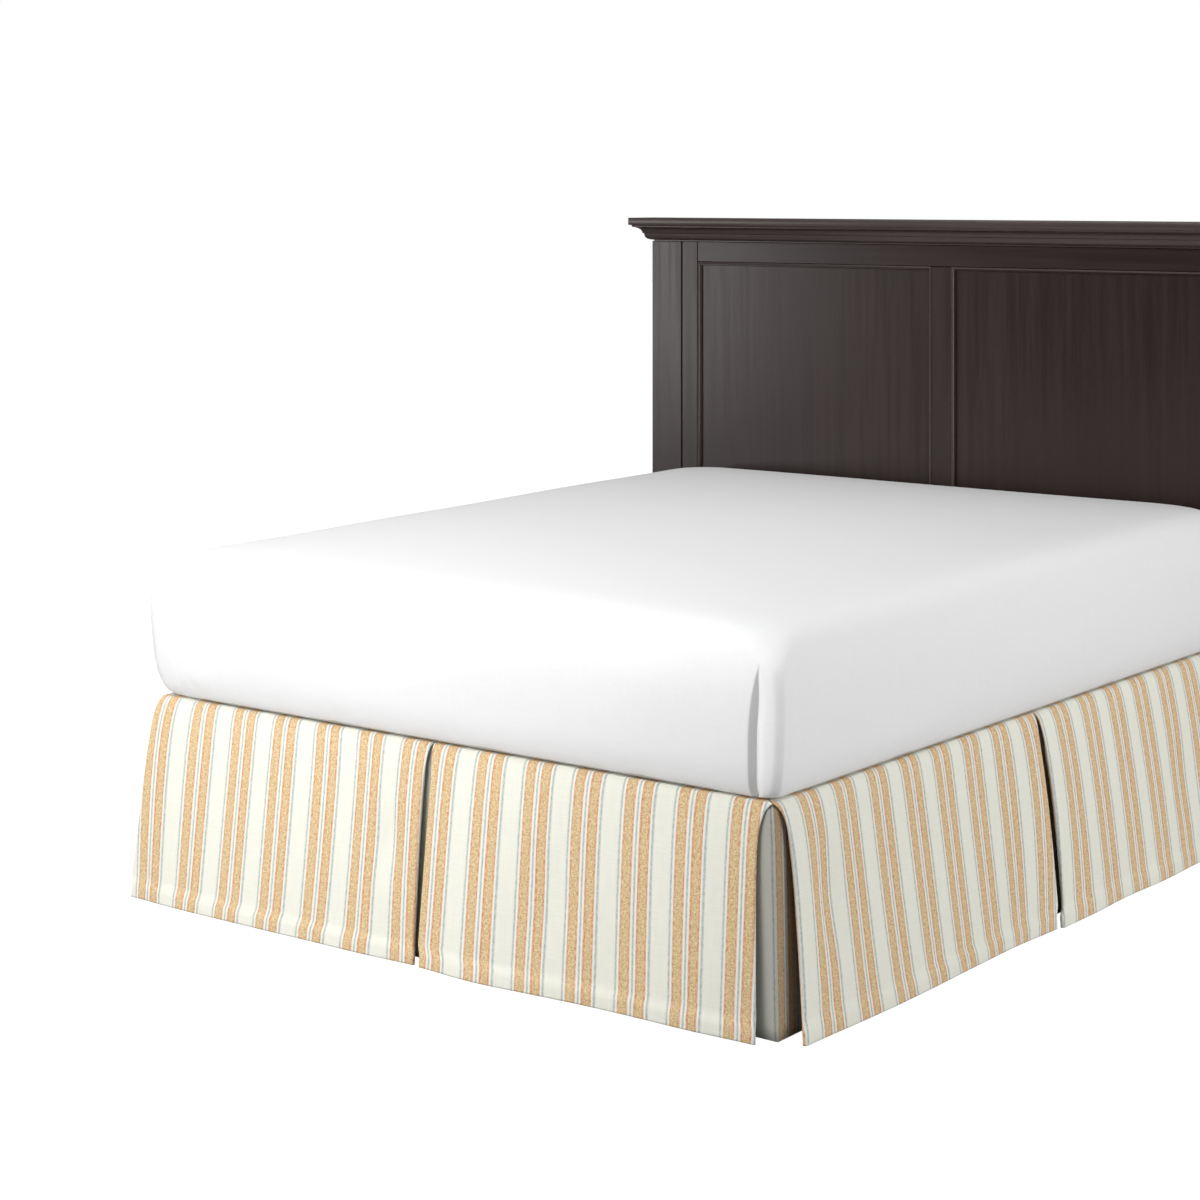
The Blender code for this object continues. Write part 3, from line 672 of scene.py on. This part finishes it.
def addFacePanel(name, panel):
    furrow = furrows[panel["furrow"]]
    levels = [(reach, 0.0) for reach in skirt["tabReaches"]] + [(0.0, depth) for depth in faceDepths]

    def facePoint(share, reach, depth):
        kick = panel["hemKicks"][0] * (1 - share) + panel["hemKicks"][1] * share
        flare = between(panel["hemOuts"], share) - kick
        out = faceOut(depth, flare, kick) + faceRelief(furrow, share, depth) - reach
        tabSpan = skirt["tabReaches"][0] - skirt["tabLevel"]
        dip = skirt["tabDip"] * smooth((reach - skirt["tabLevel"]) / tabSpan)
        return np.array((out, skirt["crest"] - depth - dip))

    profiles = [np.array([facePoint(end, *level) for level in levels]) for end in (0, 1)]
    ways = [bisectors(profile) for profile in profiles]
    places = spread(0.0, 1.0, skirt["columns"])[1:-1]
    stretch = stripes["repeat"] / panel["repeat"]
    rows = []
    for i, (reach, depth) in enumerate(levels):
        folds = []
        for end, sign in enumerate((-1, 1)):
            outStep, upStep = ways[end][i]
            inward = np.array((upStep, -outStep))
            along = panelEnd(panel, end, depth, reach)
            folds.append(foldedEdge(along, sign, profiles[end][i], inward, panel["foldDepths"][end], depth))
        first, last = folds[0][0][0][0], folds[1][0][0][0]
        face = [((first + (last - first) * p, *facePoint(p, reach, depth)), p) for p in places]

        def flatAcross(along, share):
            return (along - stripeShift(panel, share, depth) - panel["firstPair"]) * stretch

        line = [(point, flatAcross(first, 0.0) - length) for point, length in folds[0][::-1]]
        line += [(point, flatAcross(point[0], p)) for point, p in face]
        line += [(point, flatAcross(last, 1.0) + length) for point, length in folds[1]]
        rows.append((reach - depth, [(onSide(panel["side"], *point), across) for point, across in line]))
    piece = clothPiece(name, rows, stripedLinen)


for name, panel in facePanels.items():
    addFacePanel(name, panel)
print("face panels are hung")


underlay = {
    "tab": 0.045, "tabHeight": 0.00105, "clearance": 0.00275, "hem": 0.0075, "width": 0.3, "height": 0.45,
    "cornerFold": 0.0018, "cornerTabFold": 0.0012, "leanCurve": 0.7,
    "columns": 24, "rows": 16, "turnSteps": 8, "edgeSteps": 6, "centreStripe": 0.5, "cornerStripe": -0.285,
}
centreUnderlays = {
    "foot_underlay": {"side": "foot", "middle": skirt["footPleat"], "hemOut": 0.025},
    "right_underlay": {"side": "right", "middle": skirt["sidePleat"], "hemOut": 0.04},
    "left_underlay": {"side": "left", "middle": skirt["sidePleat"], "hemOut": 0.032},
}
cornerUnderlays = {
    "right_corner_underlay": {"way": 1, "footHemOut": 0.007, "sideHemOut": 0.015},
    "left_corner_underlay": {"way": -1, "footHemOut": 0.0065, "sideHemOut": 0.013},
}


deck = {"above": 0.0002, "wave": 0.00015, "columns": 48, "rows": 64}


def underlayLevels():
    # pairs of distance out and height, from the tab on the base down to the hem
    tabTop = bed["baseTop"] + underlay["tabHeight"]
    centreOut, centreUp = -bed["baseEdge"], bed["baseTop"] - bed["baseEdge"]
    radius = bed["baseEdge"] + underlay["clearance"]
    levels = [(-underlay["tab"], tabTop), (-underlay["tab"] / 2, (tabTop + centreUp + radius) / 2)]
    for angle in spread(0.0, math.pi / 2, underlay["edgeSteps"]):
        levels.append((centreOut + radius * math.sin(angle), centreUp + radius * math.cos(angle)))
    lowest = levels[-1][1]
    levels += [(underlay["clearance"], height) for height in spread(lowest, underlay["hem"], underlay["rows"])[1:]]
    return levels


def underlayOut(out, height, hemOut):
    share = (bed["baseTop"] - bed["baseEdge"] - height) / (bed["baseTop"] - underlay["hem"])
    return out + (hemOut - underlay["clearance"]) * min(max(share, 0.0), 1.0) ** underlay["leanCurve"]


def hangUnderlay(name, lineAt, stripe):
    rows = []
    for out, height in underlayLevels():
        line = [(point, across + stripe * stripes["repeat"]) for point, across in lineAt(out, height)]
        rows.append((height + out, line))
    # the underlays take the linen darkened with painted shade
    piece = clothPiece(name, rows, underlayLinenPaintedShade)


def addCentreUnderlay(name, row):
    alongs = spread(-underlay["width"] / 2, underlay["width"] / 2, underlay["columns"])

    def lineAt(out, height):
        outNow = underlayOut(out, height, row["hemOut"])
        return [(onSide(row["side"], row["middle"] + along, outNow, height), along) for along in alongs]

    hangUnderlay(name, lineAt, underlay["centreStripe"])


def addCornerUnderlay(name, row):
    # one piece of cloth round a foot corner: a leg on the foot, a sharp turn, a leg on the side
    half, foot, leg = bed["halfWidth"], -bed["halfLength"], underlay["width"] / 2

    def lineAt(out, height):
        fold = underlay["cornerTabFold"] if out < 0 else underlay["cornerFold"]
        centreX = half + underlayOut(out, height, row["sideHemOut"]) - fold
        centreY = foot - underlayOut(out, height, row["footHemOut"]) + fold
        shares = spread(0.0, 1.0, underlay["columns"] // 2)
        line = []
        for share in shares[:-1]:
            x = half - leg + (centreX - half + leg) * share
            line.append((x, centreY - fold, x - centreX))
        for angle in spread(0.0, math.pi / 2, underlay["turnSteps"]):
            line.append((centreX + fold * math.sin(angle), centreY - fold * math.cos(angle), fold * angle))
        for share in shares[1:]:
            y = centreY + (foot + leg - centreY) * share
            line.append((centreX + fold, y, y - centreY + fold * math.pi / 2))
        return [((row["way"] * x, y, height), across) for x, y, across in line]

    hangUnderlay(name, lineAt, underlay["cornerStripe"])


def addDeck():
    low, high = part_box("deck")
    height = low.z + skirt["thickness"] / 2 + deck["above"]
    xs = spread(low.x, high.x, deck["columns"])
    rows = []
    for y in spread(low.y, high.y, deck["rows"]):
        waves = [deck["wave"] * math.sin(19 * x) * math.sin(23 * y) for x in xs]
        rows.append((y, [((x, y, height + wave), x) for x, wave in zip(xs, waves)]))
    piece = clothPiece("deck", rows, deckCloth, "deck_cloth")


for name, row in centreUnderlays.items():
    addCentreUnderlay(name, row)
for name, row in cornerUnderlays.items():
    addCornerUnderlay(name, row)
addDeck()
print("underlays and deck are in place")


# From the elastic hem under the mattress to its crown: height, how far it stands out past the bed's edge,
# the same at the head end, and the radius of its corners seen from above.
mattressRings = (
    (0.42365, -0.064, -0.05, 0.03), (0.4268, -0.02, -0.02, 0.034), (0.429, -0.004, -0.01, 0.036),
    (0.436, 0.008, -0.004, 0.04), (0.455, 0.02, 0.0, 0.045), (0.495, 0.031, 0.004, 0.048),
    (0.56, 0.037, 0.006, 0.05), (0.625, 0.036, 0.006, 0.05), (0.67, 0.027, 0.004, 0.055),
    (0.703, 0.012, 0.0, 0.065), (0.724, -0.013, -0.016, 0.08), (0.735, -0.05, -0.05, 0.095),
    (0.741, -0.12, -0.12, 0.11), (0.745, -0.27, -0.27, 0.12), (0.747, -0.48, -0.48, 0.12),
    (0.7472, -0.62, -0.62, 0.12),
)

mattress = {
    "headRise": 0.02, "riseFrom": 0.417, "riseTo": 0.747,
    "rowsPerRing": (2, 2, 2, 3, 5, 6, 6, 6, 6, 6, 5, 4, 4, 4, 3),
    "sideSteps": 84, "cornerSteps": 14, "headSteps": 60, "footColumns": 64, "topStrips": 14,
    "sheetThickness": 0.001, "sharp": 55, "crownWave": 0.0012, "crownFrom": 0.715, "crownOver": 0.025,
    "foldFrom": 0.4265, "foldOver": 0.006, "foldEndsOver": 0.05, "besideCorner": 0.012, "clear": 0.006,
    "liftFrom": 0.4262, "liftOver": 0.032, "lift": 0.001, "closeStart": 0.003, "closeSpans": (0.06, 0.05),
}

# The slit where the sheet's end laps over itself beside the near foot corner: the lapping edge and the depth
# of the fold behind it, at even heights, and the sharper corner that the cloth makes beside it.
slit = {
    "heights": (0.43, 0.672), "edges": (0.7227, 0.7303, 0.7347, 0.7414, 0.7505),
    "depths": (0.0134, 0.0155, 0.0155, 0.0133, 0.0), "lip": 0.002, "wallRun": 0.45, "rest": 0.3, "ease": 2.5,
    "cornerRadius": 0.02, "cornerHeights": (0.4255, 0.44, 0.655, 0.708), "cornerReach": 0.0375,
    "groove": 0.0012, "groovePlace": 0.62, "grooveHalf": 0.38, "wallShares": (0.35, 0.7, 1.0),
    "columnShares": (0.04, 0.1, 0.18, 0.28, 0.4, 0.54, 0.68, 0.82, 0.92),
}

# The diagonal tuck at the far foot corner: its edge at even heights, and how far the cloth beyond it lies back.
tuck = {
    "heights": (0.43, 0.65), "edges": (-0.689, -0.6985, -0.7205, -0.748, -0.77),
    "depths": (0.007, 0.0095, 0.0095, 0.0065, 0.0), "lip": 0.0022,
    "groove": (-0.683, -0.6905, -0.6975, -0.701, -0.706), "grooveDepth": 0.0022, "grooveWidth": 0.0075,
    "beside": 0.0002, "arcShare": 0.985, "layBack": 1.8, "edgeSteps": ((0.55, -0.0002), (0.22, 0.0), (0.0, 0.0012)),
}

# Places where the lower edge lifts off the skirt: how far along and how wide.
edgeLifts = {
    "foot": ((-0.245, 0.075), (-0.725, 0.04), (0.488, 0.055), (0.12, 0.06)),
    "right": ((-0.56, 0.07), (0.335, 0.07), (-0.95, 0.04)),
    "left": ((-0.4, 0.08), (0.52, 0.07)),
}

# Short creases that run up from the lower edge: along and height of the middle, length, width, slope from
# upright in degrees, and depth.
puckers = {
    "foot": ((-0.235, 0.452, 0.06, 0.01, 62, 0.0022), (0.5, 0.45, 0.05, 0.01, 60, 0.0014),
             (-0.64, 0.455, 0.05, 0.012, -40, 0.002), (0.06, 0.452, 0.05, 0.01, -62, 0.0012)),
    "right": ((-0.5, 0.462, 0.075, 0.011, 58, 0.0026), (-0.56, 0.45, 0.05, 0.009, 66, 0.0018),
              (0.4, 0.458, 0.08, 0.011, 60, 0.0026), (0.33, 0.448, 0.045, 0.009, 68, 0.0016)),
    "left": ((-0.36, 0.455, 0.07, 0.011, 60, 0.0022), (0.56, 0.455, 0.07, 0.011, -58, 0.0022)),
}

# Slow swells of the sheet's faces, kept small: along, height, half length, half height and how far out.
swells = {
    "foot": ((-0.42, 0.56, 0.23, 0.11, 0.003), (0.15, 0.52, 0.26, 0.1, -0.0025),
             (0.52, 0.6, 0.16, 0.09, 0.0025), (-0.64, 0.47, 0.12, 0.05, 0.0025)),
    "right": ((-0.62, 0.57, 0.22, 0.11, -0.0025), (0.02, 0.54, 0.28, 0.1, 0.003),
              (0.64, 0.59, 0.24, 0.1, -0.0025), (-0.3, 0.47, 0.15, 0.04, -0.002)),
    "left": ((-0.3, 0.56, 0.3, 0.11, 0.0035), (0.45, 0.54, 0.26, 0.1, -0.003)),
}


def shareBetween(value, low, high):
    return (value - low) / (high - low)


def riseAt(height, y):
    share = shareBetween(height, mattress["riseFrom"], mattress["riseTo"])
    return mattress["headRise"] * smooth(2 * share - 1) * smooth(0.5 + y / bed["halfLength"] / 2)


def swellAt(side, along, height):
    out = 0.0
    for middle, level, halfLength, halfHeight, reach in swells.get(side, ()):
        out += reach * bump((along - middle) / halfLength) * bump((height - level) / halfHeight)
    for middle, level, length, width, slope, depth in puckers.get(side, ()):
        turn = math.radians(slope)
        a, b = along - middle, height - level
        lengthwise = a * math.sin(turn) + b * math.cos(turn)
        across = a * math.cos(turn) - b * math.sin(turn)
        out -= depth * bump(lengthwise / length) * bump(across / width)
    return out


def liftAt(side, along, height):
    near = 1 - smooth((height - mattress["liftFrom"]) / mattress["liftOver"])
    humps = (bump((along - middle) / width) for middle, width in edgeLifts.get(side, ()))
    return near * sum(mattress["lift"] * hump for hump in humps)


def foldDepthAt(fold, height):
    # how far the cloth behind the edge of the slit or the tuck lies back
    depth = between(fold["depths"], shareBetween(height, *fold["heights"]))
    return depth * smooth((height - mattress["foldFrom"]) / mattress["foldOver"])


def pastFold(fold, height):
    return smooth((height - fold["heights"][1]) / mattress["foldEndsOver"])


def footLine(height, out, radius):
    # the foot side and its two corners as points (x, y, side), from the left side round to the right side
    half, foot = bed["halfWidth"] + out, -bed["halfLength"] - out
    slitShare = shareBetween(height, *slit["heights"])
    tuckShare = shareBetween(height, *tuck["heights"])
    sharp = smooth(shareBetween(height, *slit["cornerHeights"][:2]))
    sharp *= 1 - smooth(shareBetween(height, *slit["cornerHeights"][2:]))
    nearRadius = radius + (slit["cornerRadius"] - radius) * sharp
    plain = radius + mattress["besideCorner"]
    slitReach = slit["cornerReach"] + (plain - slit["cornerReach"]) * pastFold(slit, height)
    slitX = between(slit["edges"], slitShare) if slitShare < 1 else half - slitReach
    slitX = min(slitX, half - nearRadius - mattress["clear"])
    depth = foldDepthAt(slit, height)
    tuckX = between(tuck["edges"], tuckShare)
    tuckX += (plain - half - tuckX) * pastFold(tuck, height)
    tuckX = max(tuckX, mattress["clear"] - half)
    back = foldDepthAt(tuck, height)
    groove = between(tuck["groove"], tuckShare)
    grooveDepth = tuck["grooveDepth"] * bump(2 * tuckShare - 0.9)

    def arcY(x, side):
        # the plain outline's own y where a corner's arc has begun
        bend = radius if side < 0 else nearRadius
        past = abs(x) - (half - bend)
        return foot + bend - math.sqrt(max(bend * bend - max(past, 0.0) ** 2, 0.0))

    line = []

    def put(x, inset, side=1):
        line.append((x, arcY(x, side) + inset, "foot"))

    # far corner: along the plain arc, lying back by the tuck until its edge
    steps = mattress["cornerSteps"]
    lowest = math.degrees(math.asin(min(max((-tuckX - (half - radius)) / radius, 0.0), 1.0)))
    for i in range(steps):
        angle = math.radians(90 + (lowest - 90) * i / (steps - 1) * tuck["arcShare"])
        inset = back * smooth(tuck["layBack"] * i / (steps - 1))
        x = -(half - radius) - (radius - inset) * math.sin(angle)
        line.append((x, foot + radius - (radius - inset) * math.cos(angle), "foot"))
    lastX = line[-1][0]
    if lastX > tuckX:
        lastX = tuckX - 2 * tuck["beside"]
        line[-1] = (lastX, line[-1][1], "foot")
    for share in (0.5, 1.0):
        put(lastX + (tuckX - tuck["beside"] - lastX) * share, back, -1)
    for share, past in tuck["edgeSteps"]:
        put(tuckX + past, back * share, -1)
    # the foot face, with closer columns beside the tuck and the slit
    lip = slit["lip"]
    start, end = tuckX + mattress["closeStart"], slitX - lip * 1.6
    nearSpan, farSpan = (min(width, 0.25 * (end - start)) for width in mattress["closeSpans"])
    near = [start + nearSpan * i / 10 for i in range(10)]
    far = [end - farSpan * (1 - i / 8) for i in range(9)]
    count = mattress["footColumns"]
    middle = [near[-1] + (far[0] - near[-1]) * i / count for i in range(1, count)]
    for x in near + middle + far:
        put(x, grooveDepth * math.exp(-(((x - groove) / tuck["grooveWidth"]) ** 2)), math.copysign(1, x))
    # over the lip, down the wall of the slit, and out again along the corner column
    for angle in (30, 60, 90):
        turn = math.radians(angle)
        put(slitX - lip + lip * math.sin(turn), min(lip, depth) * (1 - math.cos(turn)))
    y0 = arcY(slitX, 1)
    run = slit["wallRun"] * depth + 0.0008
    for share in slit["wallShares"]:
        line.append((slitX + run * share, y0 + min(lip, depth) + (depth - min(lip, depth)) * share, "foot"))
    reach = half - nearRadius - (slitX + run)
    for share in slit["columnShares"]:
        put(slitX + run + reach * share, depth * (slit["rest"] + (1 - slit["rest"]) * (1 - share) ** slit["ease"]))
    for i in range(steps + 1):
        angle = math.radians(90 * i / steps)
        bend = nearRadius - slit["groove"] * sharp * bump((i / steps - slit["groovePlace"]) / slit["grooveHalf"])
        y = foot + nearRadius - bend * math.cos(angle) + depth * slit["rest"] * (1 - i / steps)
        line.append((half - nearRadius + bend * math.sin(angle), y, "foot" if i < steps / 2 else "right"))
    return line, nearRadius


def ringLine(height, out, headOut, radius):
    # one closed ring of the sheet in order from the far foot corner, as points and the side each is on
    line, nearRadius = footLine(height, out, radius)
    half, foot, head = bed["halfWidth"] + out, -bed["halfLength"] - out, bed["halfLength"] + headOut
    steps, sides = mattress["cornerSteps"], mattress["sideSteps"]
    start, end = foot + nearRadius, head - radius
    inner, count = half - radius, mattress["headSteps"]
    angles = spread(0.0, math.pi / 2, steps)
    line += [(half, start + (end - start) * i / sides, "right") for i in range(1, sides)]
    line += [(inner + radius * math.cos(angle), end + radius * math.sin(angle), "head") for angle in angles]
    line += [(inner - 2 * inner * i / count, head, "head") for i in range(1, count)]
    line += [(-inner - radius * math.sin(angle), end + radius * math.cos(angle), "head") for angle in angles]
    start = foot + radius
    line += [(-half, end + (start - end) * i / sides, "left") for i in range(1, sides)]
    return line


def fineRings():
    columns = list(zip(*mattressRings))
    rings = []
    for i, rows in enumerate(mattress["rowsPerRing"]):
        for k in range(rows):
            share = (i + k / rows) / (len(mattressRings) - 1)
            rings.append([between(column, share) for column in columns])
    rings.append(list(mattressRings[-1]))
    return rings


def crownAt(x, y):
    # the least unevenness of a made bed's top
    wave = math.sin(5.1 * x + 0.7) * math.sin(4.3 * y - 0.4) + 0.6 * math.sin(8.7 * y + 2.3 * x)
    return mattress["crownWave"] * wave


def sheetSpot(height, x, y, side):
    # where a point of the plain outline goes, with the swells, creases and lifts
    along = x if side in ("foot", "head") else y
    push = swellAt(side, along, height)
    outX, outY = {"foot": (0, -1), "right": (1, 0), "left": (-1, 0), "head": (0, 1)}[side]
    z = height + riseAt(height, y) + liftAt(side, along, height)
    z += crownAt(x, y) * smooth((height - mattress["crownFrom"]) / mattress["crownOver"])
    return (x + outX * push, y + outY * push, z)


def addFittedSheet():
    builder = bmesh.new()
    layer = builder.loops.layers.uv.new("clothFlat")
    rings, flats = [], []
    rowLength, before = 0.0, None
    for height, out, headOut, radius in fineRings():
        if before is not None:
            rowLength += math.hypot(height - before[0], out - before[1])
        before = (height, out)
        spots = [sheetSpot(height, *point) for point in ringLine(height, out, headOut, radius)]
        runs = [0.0]
        for spot, nextSpot in zip(spots, spots[1:] + spots[:1]):
            runs.append(runs[-1] + math.dist(spot, nextSpot))
        rings.append([builder.verts.new(spot) for spot in spots])
        flats.append([(run, rowLength) for run in runs])

    def addFace(corners, flat):
        for loop, place in zip(builder.faces.new(corners).loops, flat):
            loop[layer].uv = place

    for low, high, lowFlat, highFlat in zip(rings, rings[1:], flats, flats[1:]):
        for corners, flat in zip(quads(low, high, True), quads(lowFlat, highFlat)):
            addFace(corners, flat)
    closeTop(builder, rings[-1], addFace)
    piece = builtPiece("fitted_sheet", builder, mattress["sharp"])
    thicken(piece, mattress["sheetThickness"], -1.0)
    finishPiece(piece, whiteSheet, "white_sheet", "mattress")
    return piece


def closeTop(builder, ring, addFace):
    # rows of quads across the middle of the crown, and a flat end to the foot and to the head of them
    sides = mattress["sideSteps"]
    footCount = len(ring) - 2 * (sides - 1) - 2 * (mattress["cornerSteps"] + 1) - (mattress["headSteps"] - 1)
    right = ring[footCount - 1:footCount + sides]
    left = [ring[0]] + ring[:-sides:-1] + [ring[-sides]]
    strips = mattress["topStrips"]
    rows = []
    for a, b in zip(left, right):
        row = [a]
        for k in range(1, strips):
            spot = a.co.lerp(b.co, k / strips)
            spot.z += crownAt(spot.x, spot.y) - crownAt(a.co.x, a.co.y) * (1 - k / strips)
            spot.z -= crownAt(b.co.x, b.co.y) * k / strips
            row.append(builder.verts.new(spot))
        rows.append(row + [b])
    faces = [quad for low, high in zip(rows, rows[1:]) for quad in quads(low, high)]
    faces.append(ring[:footCount] + rows[0][-2:0:-1])
    faces.append(ring[footCount + sides - 1:len(ring) - sides + 1] + rows[-1][1:-1])
    for corners in faces:
        addFace(corners, [corner.co.xy for corner in corners])


# The mattress itself, plain, just inside its sheet.
core = {"inset": 0.005, "roundMore": 0.09, "bottom": 0.4272, "sideSteps": 24, "cornerSteps": 8, "sharp": 50,
        "ringRise": 0.0002, "roundMost": 0.9, "fill": 0.95}


def coreRing(half, foot, head, bend):
    # a plain ring with four round corners, from the near foot corner round by the right side
    arcs = []
    for x, y, start in ((half - bend, foot + bend, -90), (half - bend, head - bend, 0),
                        (bend - half, head - bend, 90), (bend - half, foot + bend, 180)):
        turns = [math.radians(turn) for turn in spread(start, start + 90, core["cornerSteps"])]
        arcs.append([Vector((x + bend * math.cos(turn), y + bend * math.sin(turn), 0)) for turn in turns])
    line = []
    for arc, after in zip(arcs, arcs[1:] + arcs[:1]):
        line += arc + [arc[-1].lerp(after[0], i / core["sideSteps"]) for i in range(1, core["sideSteps"])]
    return line


def addMattressCore():
    builder = bmesh.new()
    rings = []
    for height, out, headOut, radius in fineRings()[::2]:
        half, foot = bed["halfWidth"] + out - core["inset"], -bed["halfLength"] - out + core["inset"]
        head = bed["halfLength"] + headOut - core["inset"]
        line = coreRing(half, foot, head, min(radius + core["roundMore"], half * core["roundMost"]))
        z = max(height - core["inset"], core["bottom"] + core["ringRise"] * len(rings))
        rings.append([builder.verts.new((spot.x, spot.y, z + riseAt(z, spot.y))) for spot in line])
    faces = [quad for low, high in zip(rings, rings[1:]) for quad in quads(low, high, True)]
    for corners in faces + [rings[0][::-1], rings[-1]]:
        builder.faces.new(corners)
    piece = builtPiece("mattress_body", builder, core["sharp"])
    finishPiece(piece, baseTicking, "white_sheet", "mattress")
    return piece


mattressBody = addMattressCore()
fittedSheet = addFittedSheet()
# cut to cover the top and the four sides, with 6 cm turned under, less a square at each corner
print("mattress is dressed")


# The cornice from its foot up, as pairs: how far it stands out past the posts and its height above them.
cornice = {
    "profile": ((-0.004, 0.0003), (-0.004, 0.003), (0.003, 0.0038), (0.009, 0.006), (0.013, 0.0095),
                (0.015, 0.0135), (0.0158, 0.018), (0.0162, 0.0205), (0.0185, 0.0215), (0.0195, 0.0235),
                (0.0205, 0.027), (0.0232, 0.0318), (0.028, 0.0355), (0.0345, 0.038), (0.04, 0.0392),
                (0.0408, 0.0396), (0.0408, 0.0432), (0.0412, 0.044), (0.047, 0.0446), (0.048, 0.0456),
                (0.048, 0.064), (0.0474, 0.0646), (0.04, 0.0648)),
    "sharp": 50,
}
# The quarter round set in the corner round each recessed panel.
bead = {"width": 0.0057, "steps": 5, "gap": 0.0004, "behind": 0.0002}


def loftedRims(name, rims, closed):
    # four-cornered rims joined one to the next, and closed over at both ends where asked
    order = [[4 * i + k for k in range(4)] for i in range(len(rims))]
    faces = [quad for low, high in zip(order, order[1:]) for quad in quads(low, high, True)]
    if closed:
        faces += [order[0][::-1], order[-1]]
    mesh = bpy.data.meshes.new(name)
    mesh.from_pydata([point for rim in rims for point in rim], [], faces)
    return newPiece(name, mesh, cornice["sharp"])


def addCornice():
    low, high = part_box("headboard_post_right")
    rims = []
    for out, rise in cornice["profile"]:
        x, y, z = high.x + out, low.y - out, high.z + rise
        rims.append([(-x, y, z), (x, y, z), (x, high.y, z), (-x, high.y, z)])
    # the cornice takes the moulding wood with painted light
    finishPiece(loftedRims("cornice", rims, True), woodMouldingPaintedLight, "espresso_wood", "headboard_cornice")


def addBead(side):
    low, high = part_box(f"headboard_panel_{side}")
    rims = []
    for turn in spread(0.0, math.pi / 2, bead["steps"]):
        inset = bead["gap"] + bead["width"] * math.sin(turn)
        y = low.y - bead["behind"] - bead["width"] * math.cos(turn)
        x0, x1, z0, z1 = low.x + inset, high.x - inset, low.z + inset, high.z - inset
        rims.append([(x0, y, z0), (x1, y, z0), (x1, y, z1), (x0, y, z1)])
    # the bead takes the moulding wood with painted light
    finishPiece(loftedRims(f"bead_{side}", rims, False), woodMouldingPaintedLight, "espresso_wood")


addCornice()
for side in ("left", "right"):
    addBead(side)


def dress(material, *names):
    for name in names:
        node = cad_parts[name]
        node.data.materials.clear()
        node.data.materials.append(material)


dress(woodUp, "headboard_post_left", "headboard_post_right", "headboard_stile_left", "headboard_stile_right",
      "headboard_centre_stile", "headboard_panel_left", "headboard_panel_right")
dress(woodAlong, "headboard_top_rail", "headboard_lower_rail")
dress(baseTicking, "base")
dress(steel, *[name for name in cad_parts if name.startswith(("leg_", "frame_rail", "cross_bar"))])
print("headboard, base and frame are finished")
